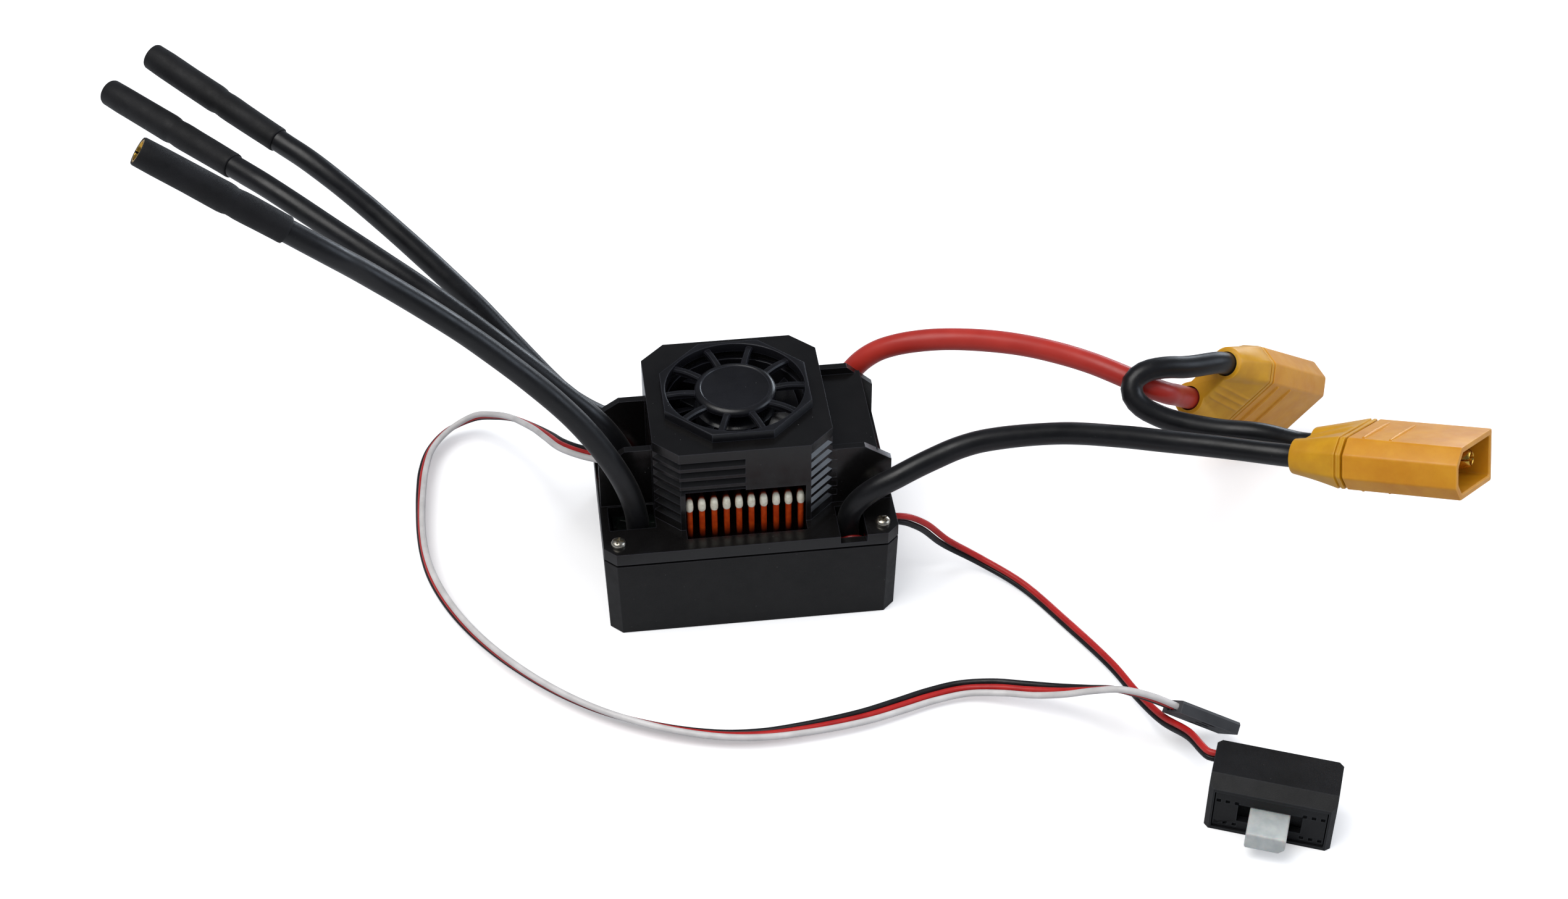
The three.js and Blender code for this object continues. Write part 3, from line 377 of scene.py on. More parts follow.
def adopt(name, mesh, finish, body=BODY, stands_for=(), smooth=40):
    """Makes a mesh a piece that rides on a CAD body; faces meeting under `smooth` degrees shade as one."""
    tidy_mesh(mesh)
    piece = bpy.data.objects.new(name, mesh)
    bpy.context.scene.collection.objects.link(piece)
    mesh.materials.clear()
    mesh.materials.append(FINISH[finish])
    mesh.shade_smooth()
    mesh.set_sharp_from_angle(angle=math.radians(smooth))
    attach(piece, body)
    if stands_for:
        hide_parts(*stands_for)
    return piece


def raw_mesh(name, vertices, faces):
    mesh = bpy.data.meshes.new(name)
    mesh.from_pydata([tuple(v) for v in vertices], [], [tuple(f) for f in faces])
    tidy_mesh(mesh)
    return mesh


def ring_mesh(name, rings):
    """Skin over rings that hold the same number of points, closed by a face at each end."""
    count = len(rings[0])
    faces = []
    for k in range(len(rings) - 1):
        for i in range(count):
            j = (i + 1) % count
            faces.append((k * count + i, k * count + j, (k + 1) * count + j, (k + 1) * count + i))
    faces.append(tuple(range(count)))
    faces.append(tuple(range(len(rings) * count - count, len(rings) * count)))
    return raw_mesh(name, [point for ring in rings for point in ring], faces)


def combine(first, second, operation):
    """The exact boolean of two meshes, as a new mesh."""
    base = bpy.data.objects.new("cut_base", first)
    tool = bpy.data.objects.new("cut_tool", second)
    for made in (base, tool):
        bpy.context.scene.collection.objects.link(made)
    change = base.modifiers.new("cut", "BOOLEAN")
    change.operation = operation
    change.solver = "EXACT"
    change.object = tool
    graph = bpy.context.evaluated_depsgraph_get()
    result = bpy.data.meshes.new_from_object(base.evaluated_get(graph))
    bpy.data.objects.remove(base)
    bpy.data.objects.remove(tool)
    return result


def union(meshes):
    whole = meshes[0]
    for mesh in meshes[1:]:
        whole = combine(whole, mesh, "UNION")
    return whole


def without(mesh, tools):
    for tool in tools:
        mesh = combine(mesh, tool, "DIFFERENCE")
    return mesh


def placed(mesh, matrix):
    mesh.transform(matrix)
    return mesh


def soften(piece, width, segments=2):
    """Rounds the piece's hard edges."""
    bevel = piece.modifiers.new("rounded_edges", "BEVEL")
    bevel.width = width
    bevel.segments = segments
    bevel.limit_method = "ANGLE"
    bevel.angle_limit = math.radians(30)
    bevel.miter_outer = "MITER_ARC"
    shading = piece.modifiers.new("even_shading", "WEIGHTED_NORMAL")
    shading.keep_sharp = False


def dress(node, finish, round_by, segments=2):
    """Gives a CAD node its material and rounded edges."""
    piece = frame["nodes"][node]
    piece.data.materials.clear()
    piece.data.materials.append(FINISH[finish])
    if piece.data.has_custom_normals:
        piece.data.attributes.remove(piece.data.attributes["custom_normal"])
    piece.data.shade_smooth()
    weld = piece.modifiers.new("joined_corners", "WELD")
    weld.merge_threshold = 0.002 * MM
    flat = piece.modifiers.new("whole_faces", "DECIMATE")
    flat.decimate_type = "DISSOLVE"
    flat.angle_limit = math.radians(0.6)
    soften(piece, round_by, segments)


def circle(sides):
    """The angles of `sides` points spread evenly round a circle."""
    return [2 * math.pi * i / sides for i in range(sides)]


def tube_mesh(name, x0, x1, radius, middle):
    """A round bar along local X, centred at Y = `middle`."""
    ring = [(math.cos(turn) * radius + middle, math.sin(turn) * radius) for turn in circle(48)]
    return ring_mesh(name, [[(x, y, z) for y, z in ring] for x in (x0, x1)])


def block_mesh(name, x0, x1, y0, y1, z0, z1):
    corners = [(y0, z0), (y1, z0), (y1, z1), (y0, z1)]
    return ring_mesh(name, [[(x, y, z) for y, z in corners] for x in (x0, x1)])


def lathe_mesh(name, profile, sides):
    """A body turned about local X from points (x, radius); a radius of 0 closes it on the axis."""
    rings = []
    for x, radius in profile:
        rings.append([(x, radius * math.cos(turn), radius * math.sin(turn)) for turn in circle(sides)])
    return ring_mesh(name, rings)


def turned_ring_mesh(name, profile, sides, wobble):
    """A hollow body turned about local X from a closed outline of (x, radius) points, made uneven."""
    count = len(profile)
    vertices = []
    for turn in circle(sides):
        for x, radius in profile:
            r = radius + wobble(x, turn)
            vertices.append((x, r * math.cos(turn), r * math.sin(turn)))
    faces = []
    for i in range(sides):
        j = (i + 1) % sides
        for k in range(count):
            m = (k + 1) % count
            faces.append((i * count + k, i * count + m, j * count + m, j * count + k))
    return raw_mesh(name, vertices, faces)


def points_of(node):
    return np.array([v.co for v in frame["nodes"][node].data.vertices], float)


def axes_matrix(origin, x, y):
    """The matrix of a local frame from its origin, its X and roughly its Y."""
    x = Vector(x).normalized()
    z = x.cross(Vector(y)).normalized()
    y = z.cross(x)
    matrix = Matrix((x, y, z)).transposed().to_4x4()
    matrix.translation = Vector(origin)
    return matrix


def long_axis(node):
    """(middle, direction, half length) of a long turned CAD node."""
    points = points_of(node)
    middle = (points.max(0) + points.min(0)) / 2
    direction = np.linalg.svd(points - points.mean(0), full_matrices=False)[2][0]
    along = (points - middle) @ direction
    middle = middle + direction * (along.max() + along.min()) / 2
    around = points - middle - np.outer((points - middle) @ direction, direction)
    middle = middle + (around.max(0) + around.min(0)) / 2
    return middle, direction, (along.max() - along.min()) / 2


# -------- leads


def flat_patch(face):
    """The faces that lie flat with `face` and join on to it."""
    patch, queue = {face}, [face]
    while queue:
        here = queue.pop()
        for edge in here.edges:
            for other in edge.link_faces:
                if other not in patch and other.normal.dot(face.normal) > 0.99999:
                    patch.add(other)
                    queue.append(other)
    return patch


def end_ring(bm, sides):
    """The corners of a swept wire's end face: the flat patch of `sides` corners whose rim edges match."""
    for face in bm.faces:
        patch = flat_patch(face)
        corners = {v for f in patch for v in f.verts}
        if len(patch) != sides - 2 or len(corners) != sides:
            continue
        rim = [e for f in patch for e in f.edges if sum(g in patch for g in e.link_faces) == 1]
        lengths = [e.calc_length() for e in rim]
        if max(lengths) < 1.1 * min(lengths):
            return corners
    raise ValueError("a wire's end face was not found")


def centre_line(node, sides):
    """The middle of each ring of corners along a swept CAD wire, from one end to the other."""
    bm = bmesh.new()
    bm.from_mesh(frame["nodes"][node].data)
    bmesh.ops.remove_doubles(bm, verts=bm.verts, dist=0.002 * MM)
    ring = end_ring(bm, sides)
    seen, middles = set(ring), []
    while ring:
        middles.append(np.mean([v.co for v in ring], axis=0))
        ring = {e.other_vert(v) for v in ring for e in v.link_edges} - seen
        seen |= ring
    bm.free()
    return np.array(middles)


def smooth_path(points, step):
    """Catmull-Rom curve through the points, sampled about every `step`."""
    padded = np.vstack([2 * points[0] - points[1], points, 2 * points[-1] - points[-2]])
    path = []
    for a, b, c, d in zip(padded, padded[1:], padded[2:], padded[3:]):
        count = max(1, round(np.linalg.norm(c - b) / step))
        for i in range(count):
            t = i / count
            path.append(0.5 * (2 * b + (c - a) * t + (2 * a - 5 * b + 4 * c - d) * t * t
                               + (3 * b - a - 3 * c + d) * t ** 3))
    path.append(points[-1])
    return np.array(path)


def swept_rings(path, radius, sides):
    """Rings round a path, kept from twisting; `radius` is a function of distance and angle."""
    tangents = np.gradient(path, axis=0)
    tangents /= np.linalg.norm(tangents, axis=1)[:, None]
    side = np.cross(tangents[0], (0.0, 0.0, 1.0))
    if np.linalg.norm(side) < 0.1:
        side = np.cross(tangents[0], (0.0, 1.0, 0.0))
    rings, distance = [], 0.0
    for k, (point, tangent) in enumerate(zip(path, tangents)):
        if k:
            distance += np.linalg.norm(point - path[k - 1])
        side = side - tangent * (side @ tangent)
        side /= np.linalg.norm(side)
        up = np.cross(tangent, side)
        ring = []
        for turn in circle(sides):
            reach = radius(distance, turn)
            ring.append(point + reach * (side * math.cos(turn) + up * math.sin(turn)))
        rings.append(ring)
    return rings


def lead(node, finish, radius, cad_sides, sides, step, unevenness, seed):
    """A smooth, slightly uneven lead along the middle of a CAD wire, with rounded cut ends."""
    path = smooth_path(centre_line(node, cad_sides), step)
    end_scale, end_bulge = 0.86, 0.12

    def reach(distance, turn):
        slow = math.sin(distance / (6.1 * MM) + seed)
        quick = math.sin(distance / (2.3 * MM) + 2 * turn + seed)
        return radius + unevenness * (slow + 0.6 * quick)

    rings = swept_rings(path, reach, sides)
    for end, inner in ((0, 1), (-1, -2)):
        middle = np.mean(rings[end], axis=0)
        shrunk = [middle + (p - middle) * end_scale for p in rings[end]]
        toward = np.mean(rings[inner], axis=0) - middle
        toward *= end_bulge * radius / np.linalg.norm(toward)
        rings[end] = [p + toward for p in rings[end]]
        if end == 0:
            rings.insert(0, shrunk)
        else:
            rings.append(shrunk)
    name = node.replace("wire", "lead" if radius > MM else "strand")
    adopt(name, ring_mesh(name, rings), finish, stands_for=[node])


HEAVY = {"radius": 2.3 * MM, "cad_sides": 10, "sides": 32, "step": 1.2 * MM, "unevenness": 0.02 * MM}
THIN = {"radius": 0.65 * MM, "cad_sides": 6, "sides": 16, "step": 0.8 * MM, "unevenness": 0.008 * MM}
FAN_WIRE = {"radius": 0.4 * MM, "cad_sides": 5, "sides": 12, "step": 0.6 * MM, "unevenness": 0.004 * MM}


def leads():
    for index, letter in enumerate("abc"):
        lead("motor_wire_" + letter, "lead_black", seed=1.7 * index, **HEAVY)
    lead("battery_wire_red", "lead_red", seed=0.4, **HEAVY)
    lead("battery_wire_black", "lead_black", seed=2.1, **HEAVY)
    lead("series_jumper_wire", "lead_black", seed=3.3, **HEAVY)
    for index, colour in enumerate(("white", "red", "black")):
        lead("servo_wire_" + colour, "wire_" + colour, seed=index, **THIN)
    for index, colour in enumerate(("red", "black")):
        lead("switch_wire_" + colour, "wire_" + colour, seed=index + 5, **THIN)
        finish = "fan_red" if colour == "red" else "wire_black"
        lead("fan_wire_" + colour, finish, seed=index + 8, **FAN_WIRE)


def sleeve(letter, phase):
    """Heat-shrink tube: snug over the socket, dimpled behind it, and stepped down on to the lead."""
    node = "motor_sleeve_" + letter
    middle, direction, half = long_axis(node)
    if direction @ middle < 0:
        direction = -direction
    matrix = axes_matrix(middle + direction * half, -direction, (0, 0, 1))
    length = 2 * half
    socket, shoulder, end_round = 18.5 * MM, 24 * MM, 0.6 * MM
    inner, lip = 2.42 * MM, 0.12 * MM
    # Millimetres from the open end, and the radius there: over the socket, then the dimple behind it.
    outer = [
        (0.0, 2.66), (0.3, 2.8), (4, 2.88), (10, 2.87), (15.5, 2.9), (17.2, 2.92), (18.1, 2.84),
        (18.8, 2.66), (19.5, 2.68), (20.4, 2.76), (22, 2.78), (24, 2.74),
    ]
    profile = [(x * MM, r * MM) for x, r in outer]
    steps = 8
    for i in range(1, steps):
        x = shoulder + (length - shoulder - end_round) * i / steps
        profile.append((x, (2.74 - 0.08 * i / steps) * MM))
    profile += [
        (length - 0.5 * MM, 2.68 * MM), (length - 0.12 * MM, 2.63 * MM), (length, 2.53 * MM),
        (length, inner - 0.05 * MM), (length - lip, inner - 0.1 * MM), (socket, inner),
        (0.0, inner + 0.08 * MM),
    ]

    def wrinkle(x, turn):
        soft = 0.035 * math.sin(2 * turn + phase + x / (9 * MM))
        fine = 0.02 * math.sin(3 * turn - phase + x / (2.6 * MM))
        return (soft + fine) * MM * min(1.0, x / (3 * MM))

    mesh = placed(turned_ring_mesh("motor_tube_" + letter, profile, 56, wrinkle), matrix)
    adopt("motor_tube_" + letter, mesh, "sleeve", stands_for=[node], smooth=60)
    socket_piece(letter, matrix)


def socket_piece(letter, matrix):
    """Gold bullet socket with a rolled rim and four slots in its mouth."""
    outer, bore, length, depth = 2.38 * MM, 1.85 * MM, 15 * MM, 9 * MM
    slot_length, slot_half = 6 * MM, 0.2 * MM
    profile = [
        (0.07 * MM, bore + 0.08 * MM), (0.02 * MM, (outer + bore) / 2), (0.07 * MM, outer - 0.08 * MM),
        (0.25 * MM, outer), (length, outer), (length, 0.0),
    ]
    inside = [(depth, 0.0), (depth, bore), (0.25 * MM, bore)]
    mesh = lathe_mesh("socket", inside + profile, 48)
    slots = []
    for k in range(4):
        slot = block_mesh("slot", 0, slot_length, 1.5 * MM, 3 * MM, -slot_half, slot_half)
        slots.append(placed(slot, Matrix.Rotation(math.radians(45 + 90 * k), 4, "X")))
    adopt("motor_socket_" + letter, placed(without(mesh, slots), matrix), "gold",
          stands_for=["motor_bullet_" + letter], smooth=35)


# -------- battery connectors


def rounded_outline(points, radius, steps=4):
    """A closed outline whose corners are rounded off."""
    result = []
    count = len(points)
    for i in range(count):
        before, here, after = (np.array(points[(i + k) % count], float) for k in (-1, 0, 1))
        to_before, to_after = before - here, after - here
        reach = min(radius, 0.45 * np.linalg.norm(to_before), 0.45 * np.linalg.norm(to_after))
        start = here + to_before / np.linalg.norm(to_before) * reach
        end = here + to_after / np.linalg.norm(to_after) * reach
        for k in range(steps + 1):
            t = k / steps
            result.append((1 - t) ** 2 * start + 2 * t * (1 - t) * here + t * t * end)
    return result


CORNER = 0.4 * MM
# The cap's wire end: the radius of its two round cups and half the thickness of the web between them.
CUP, WEB = 3.5 * MM, 2.5 * MM
# How much of the cap's length, next to the housing, its lipped seam takes up.
SEAM = 1.5 * MM


class ConnectorFrame:
    """Sizes and local frame of a battery connector, read from its CAD nodes: X to the mating end."""

    def __init__(self, name):
        pins = [long_axis(f"{name}_connector_pin_{k}") for k in (1, 2)]
        cap, housing = (points_of(f"{name}_connector_{k}") for k in ("cap", "housing"))
        along = pins[0][1]
        if along @ (housing.mean(0) - cap.mean(0)) < 0:
            along = -along
        across = pins[1][0] - pins[0][0]
        self.pitch = np.linalg.norm(across - along * (across @ along))
        centre = (pins[0][0] + pins[1][0]) / 2
        origin = centre + along * ((cap - centre) @ along).min()
        self.matrix = axes_matrix(origin, along, across)
        turn = np.array(self.matrix.to_3x3())
        local_cap, local_housing = (cap - origin) @ turn, (housing - origin) @ turn
        self.cap = local_cap[:, 0].max()
        self.start = local_housing[:, 0].min()
        self.length = local_housing[:, 0].max()
        self.half_width = abs(local_housing[:, 1]).max()
        self.half_thick = abs(local_housing[:, 2]).max()
        edge = {}
        for side in (-1, 1):
            outermost = local_housing[side * local_housing[:, 1] > self.half_width - 0.01 * MM]
            edge[side] = abs(outermost[:, 2]).max()
        self.keyed = min(edge, key=edge.get)
        self.chamfer = self.half_thick - edge[self.keyed]
        pin = points_of(f"{name}_connector_pin_1")
        reach = (pin - origin) @ turn
        self.pin_end = reach[:, 0].max()

    def outline(self, inset, radius):
        """The connector's outline across X: two square edges and, on its keyed side, two cut-off ones."""
        w, t = self.half_width - inset, self.half_thick - inset
        c = max(0.2 * MM, self.chamfer - 0.4 * inset)
        points = [(-w, -t), (w - c, -t), (w, c - t), (w, t - c), (w - c, t), (-w, t)]
        if self.keyed < 0:
            points = [(-y, z) for y, z in reversed(points)]
        return rounded_outline(points, radius)


def grip_rib(x, half_length, z, size):
    """A low rounded rib across a wide face, at height z, that tapers off at both ends."""
    count, flatness = 7, 1.1
    rings = []
    for k in range(count):
        t = k / (count - 1)
        radius = size * math.sin(math.pi * (0.04 + 0.92 * t)) ** 0.25
        y = half_length * (2 * t - 1)
        rings.append([(x + flatness * radius * math.cos(turn), y, z + radius * math.sin(turn))
                      for turn in circle(12)])
    return ring_mesh("rib", rings)


def connector_housing(name, c):
    """Keyed housing: open at its mating end down to a floor, with two low ribs on each wide face."""
    wall, floor, bore = 1.25 * MM, 18 * MM, 2.5 * MM
    levels = [
        (c.start, 0.35), (c.start + 0.35 * MM, 0.0), (c.length - 0.3 * MM, 0.0),
        (c.length - 0.08 * MM, 0.08), (c.length, 0.3),
    ]
    rings = [[(x, y, z) for y, z in c.outline(inset * MM, CORNER)] for x, inset in levels]
    for x, inset in ((c.length, wall - 0.25 * MM), (c.length - 0.25 * MM, wall), (floor, wall + 0.12 * MM)):
        rings.append([(x, y, z) for y, z in c.outline(inset, 0.5 * MM)])
    shell = ring_mesh("housing", rings)
    ribs = []
    for sign in (-1, 1):
        z = sign * (c.half_thick - 0.05 * MM)
        for distance, size in ((3.2 * MM, 0.55 * MM), (8.6 * MM, 0.5 * MM)):
            ribs.append(grip_rib(c.start + distance, 0.66 * c.half_width, z, size))
    bores = [tube_mesh("bore", c.start - MM, floor + MM, bore, side * c.pitch / 2) for side in (-1, 1)]
    mesh = without(union([shell] + ribs), bores)
    adopt(f"{name}_housing", placed(mesh, c.matrix), "amber",
          stands_for=[f"{name}_connector_housing"], smooth=35)


def cap_outline(c, x):
    """The cap's outline: two round cups and a web at the wire end, spreading evenly to the housing's."""
    full = np.array(c.outline(0.0, CORNER))
    blend = min(1.0, max(0.0, x / (c.cap - SEAM)))
    offset = c.pitch / 2 + 0.1 * MM
    result = []
    for angle in circle(240):
        ray = np.array((math.cos(angle), math.sin(angle)))
        spread = CUP * CUP - (offset * ray[1]) ** 2
        cups = abs(ray[0]) * offset + math.sqrt(spread) if spread > 0 else 0.0
        flat = WEB / max(abs(ray[1]), 1e-6)
        peanut = max(cups, flat if flat * abs(ray[0]) < offset else 0.0)
        reach = (1 - blend) * peanut + blend * reach_along(full, ray)
        ridge = web_ridge(x, ray, reach) if blend < 0.92 else 0.0
        result.append(ray * (reach + ridge))
    return result


def reach_along(outline, ray):
    """How far a ray from the middle goes before it meets the outline."""
    a, b = outline, np.roll(outline, -1, axis=0)
    d = b - a
    cross = ray[0] * d[:, 1] - ray[1] * d[:, 0]
    safe = np.where(abs(cross) < 1e-12, 1e-12, cross)
    t = (a[:, 0] * d[:, 1] - a[:, 1] * d[:, 0]) / safe
    u = (a[:, 0] * ray[1] - a[:, 1] * ray[0]) / safe
    hit = t[(t > 0) & (u >= -1e-6) & (u <= 1 + 1e-6)]
    return hit.max()


def web_ridge(x, ray, reach):
    """Three fine ridges that run along the middle of each wide face: how far they stand out along a ray."""
    pitch, height = 1.65 * MM, 0.26 * MM
    y = ray[0] * reach
    if abs(ray[1]) < 0.5 or abs(y) > 1.5 * pitch or x < 0.8 * MM:
        return 0.0
    return height * (0.5 + 0.5 * math.cos(2 * math.pi * y / pitch)) ** 2


def connector_cap(name, c):
    """The cap over the solder cups: rounded rims, fine ridges on its web and a lipped seam."""
    rim, bore, count = 0.3 * MM, 2.6 * MM, 12
    # Each level: distance from the wire end, and how far the outline stands out there in millimetres.
    levels = [(0.0, -0.2), (rim * 0.3, -0.06), (rim, 0.0)]
    for k in range(1, count + 1):
        levels.append((rim + (c.cap - SEAM - rim) * k / count, 0.0))
    lip = [(1.3, -0.02), (1.15, -0.5), (0.85, -0.5), (0.7, -0.04), (0.5, 0.0), (0.1, -0.02), (0.0, -0.2)]
    levels += [(c.cap - back * MM, change) for back, change in lip]
    rings = []
    for x, change in levels:
        ring = []
        for y, z in cap_outline(c, x):
            size = math.hypot(y, z)
            scale = (size + change * MM) / size
            ring.append((x, y * scale, z * scale))
        rings.append(ring)
    bores = [tube_mesh("bore", -MM, c.cap + MM, bore, side * c.pitch / 2) for side in (-1, 1)]
    mesh = without(ring_mesh("cap", rings), bores)
    adopt(f"{name}_cap", placed(mesh, c.matrix), "amber_dark",
          stands_for=[f"{name}_connector_cap"], smooth=38)


def connector_pins(name, c):
    """Gold contacts with a hollow, slotted tip, a groove behind it and a hollow wire end."""
    radius, groove, wall = 2.22 * MM, 0.12 * MM, 0.7 * MM
    slot_length, slot_half, cup_depth = 5 * MM, 0.16 * MM, 2.6 * MM
    start, end = 3.5 * MM, c.pin_end
    # Millimetres back from the tip, and the radius there: up its bore and over its rounded rim.
    tip = [(3, 0.0), (3, 0.95), (0.5, 1.05), (0.1, 1.2), (0.0, 1.38), (0.12, 1.58), (0.7, 1.9)]
    profile = [(end - back * MM, r * MM) for back, r in tip]
    profile += [
        (end - 1.8 * MM, radius), (end - 6 * MM, radius), (end - 6.2 * MM, radius - groove),
        (end - 7 * MM, radius - groove), (end - 7.2 * MM, radius), (start + 0.3 * MM, radius),
        (start, radius - 0.2 * MM), (start, radius - wall), (start + cup_depth, radius - wall),
        (start + cup_depth, 0.0),
    ]
    for k, side in ((1, -1), (2, 1)):
        slots = []
        for n in range(4):
            slot = block_mesh("slot", end - slot_length, end + MM, 0.2 * MM, 3 * MM, -slot_half, slot_half)
            slots.append(placed(slot, Matrix.Rotation(math.radians(90 * n), 4, "X")))
        mesh = without(lathe_mesh("pin", profile, 56), slots)
        mesh.transform(Matrix.Translation((0, side * c.pitch / 2, 0)))
        adopt(f"{name}_contact_{k}", placed(mesh, c.matrix), "gold",
              stands_for=[f"{name}_connector_pin_{k}"], smooth=35)


def connector(name):
    c = ConnectorFrame(name)
    connector_housing(name, c)
    connector_cap(name, c)
    connector_pins(name, c)


# -------- case, screws and heatsink


def upright(x, y, z):
    """Turns a body made about local X so that it stands on the point, pointing up."""
    return Matrix.Translation((x, y, z)) @ Matrix.Rotation(-math.pi / 2, 4, "Y")


def case_screw(index, turn):
    """Domed head with a cross recess, turned by `turn`, and a pointed shank."""
    node = f"case_screw_{index}"
    low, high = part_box(node)
    x, y = (low.x + high.x) / 2, (low.y + high.y) / 2
    head, height = (high.x - low.x) / 2 * 1.01, 1.2 * MM
    deck = high.z - height
    shank = 0.85 * MM
    length = deck - low.z
    dome = [(1.0, 0.0), (1.0, 0.3), (0.97, 0.5), (0.86, 0.74), (0.66, 0.91), (0.42, 0.985), (0.2, 1.0)]
    profile = [(up * height, out * head) for up, out in dome]
    profile += [
        (0.02 * MM, head * 0.99), (0.0, head * 0.93), (0.0, shank), (-length + 1.4 * MM, shank),
        (-length + 0.4 * MM, 0.5 * shank), (-length, 0.05 * shank), (-length, 0.0),
    ]
    slots = []
    for k in range(2):
        # The second slot is a little wider and shallower, so that no faces of the two coincide.
        widen, floor, above = 1 + 0.07 * k, height * (0.4 + 0.03 * k), height * 1.4
        rings = []
        for r, half in ((-0.72, 0.1), (-0.66, 0.16), (0.66, 0.16), (0.72, 0.1)):
            reach, w = r * head, half * MM * widen
            rings.append([(floor, reach, -w), (floor, reach, w), (above, reach, 1.35 * w),
                          (above, reach, -1.35 * w)])
        slots.append(placed(ring_mesh("slot", rings), Matrix.Rotation(math.pi / 2 * k, 4, "X")))
    mesh = without(lathe_mesh("screw", profile, 64), slots)
    mesh.transform(Matrix.Rotation(turn, 4, "X"))
    adopt(f"screw_{index}", placed(mesh, upright(x, y, deck)), "nickel", stands_for=[node], smooth=32)


def heatsink():
    """Base plate with ten fins; each fin's front edge is rounded and its bare tip is a little fatter."""
    low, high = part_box("heatsink")
    base_thick, half = 4 * MM, 15 * MM
    middle = (low.x + high.x) / 2
    back = high.y
    rear = back - 0.01 * MM
    fins, pitch, thick = 10, 2.5 * MM, 0.58 * MM
    tip_bottom, tip_top = high.z - 3.9 * MM, high.z - 1.5 * MM
    parts = [block_mesh("base", middle - half, middle + half, -half, back, low.z, low.z + base_thick)]
    # Each level: height, thickness against the fin's own, and how far the front edge stands back in mm.
    levels = [(low.z + MM, 1.0, 0.12)]
    for above, scale, setback in ((-0.5, 1.0, 0.12), (-0.12, 1.04, 0.1), (0.2, 1.32, 0.02),
                                  (0.8, 1.38, 0.0), (1.6, 1.28, 0.0)):
        levels.append((tip_bottom + above * MM, scale, setback))
    for above, scale, setback in ((-0.3, 1.14, 0.06), (-0.05, 0.9, 0.3), (0.15, 0.75, 0.9),
                                  (0.3, 0.6, 1.8)):
        levels.append((tip_top + above * MM, scale, setback))
    levels.append((high.z, 0.5, 3.2))
    for i in range(fins):
        x = middle + (i - (fins - 1) / 2) * pitch
        vary = 1 + 0.05 * math.sin(2.3 * i + 0.6)
        rings = []
        for z, scale, setback in levels:
            w = thick * (scale if scale <= 1 else 1 + (scale - 1) * vary)
            front = low.y + setback * MM
            nose = [(x + w * math.cos(a), front + w * (1 - math.sin(a)), z)
                    for a in (math.pi * k / 8 for k in range(9))]
            rings.append([(x + w, rear, z)] + nose + [(x - w, rear, z)])
        parts.append(ring_mesh("fin", rings))
    add_finish(anodised_fins, "anodised", tip_bottom, low.y)
    adopt("fin_block", union(parts), "anodised", stands_for=["heatsink"], smooth=35)


# -------- fan


def octagon_ring(half, z):
    """The eight corners of a regular octagon about the origin, at height z."""
    cut = half * (math.sqrt(2) - 1)
    return [(x, y, z) for x, y in ((half, -cut), (half, cut), (cut, half), (-cut, half), (-half, cut),
                                   (-half, -cut), (-cut, -half), (cut, -half))]


def fan_guard():
    """Octagonal guard: round opening, ten arms that arch to the rim, and a dished disc."""
    low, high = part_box("fan_guard")
    x, y = (low.x + high.x) / 2, (low.y + high.y) / 2
    half, height = (high.x - low.x) / 2, high.z - low.z
    opening, hub, arms = 14.05 * MM, 8.3 * MM, 10
    levels = [(0.0, 0.0), (height - 0.3 * MM, 0.0), (height - 0.08 * MM, 0.1), (height, 0.32)]
    plate = ring_mesh("plate", [octagon_ring(half - inset * MM, z) for z, inset in levels])
    mouth = [
        (-MM, 0.0), (-MM, opening), (height - 0.35 * MM, opening), (height - 0.1 * MM, opening + 0.1 * MM),
        (height, opening + 0.32 * MM), (height + MM, opening + 0.9 * MM), (height + MM, 0.0),
    ]
    plate = without(plate, [placed(lathe_mesh("mouth", mouth, 128), upright(0, 0, 0))])
    # The disc's outline: height above the guard's underside and radius, in millimetres.
    disc = [
        (0.45, 0.0), (0.45, 8.05), (0.6, 8.3), (1.15, 8.3), (1.5, 8.12), (1.82, 7.62), (1.93, 7.3),
        (1.94, 7.15), (1.86, 7.0), (1.74, 6.9), (1.7, 6.7), (1.7, 0.0),
    ]
    outline = [(z * MM, r * MM) for z, r in disc]
    parts = [plate, placed(lathe_mesh("disc", outline, 128), upright(0, 0, 0))]
    steps = 8
    for k in range(arms):
        rings = []
        for i in range(steps + 1):
            t = i / steps
            r = hub - 0.5 * MM + (opening - hub + 0.9 * MM) * t
            top = (1.3 + 0.35 * math.sin(math.pi * t)) * MM
            w = (0.68 + 0.1 * (2 * t - 1) ** 2) * MM
            underside, side, shoulder = 0.35 * MM, top - 0.4 * MM, top - 0.08 * MM
            section = [(-w, underside), (w, underside), (w, side), (0.7 * w, shoulder), (0.3 * w, top),
                       (-0.3 * w, top), (-0.7 * w, shoulder), (-w, side)]
            rings.append([(r, a, b) for a, b in section])
        parts.append(placed(ring_mesh("arm", rings), Matrix.Rotation(2 * math.pi * k / arms, 4, "Z")))
    mesh = union(parts)
    adopt("guard", placed(mesh, Matrix.Translation((x, y, low.z))), "fan_black",
          stands_for=["fan_guard"], smooth=32)


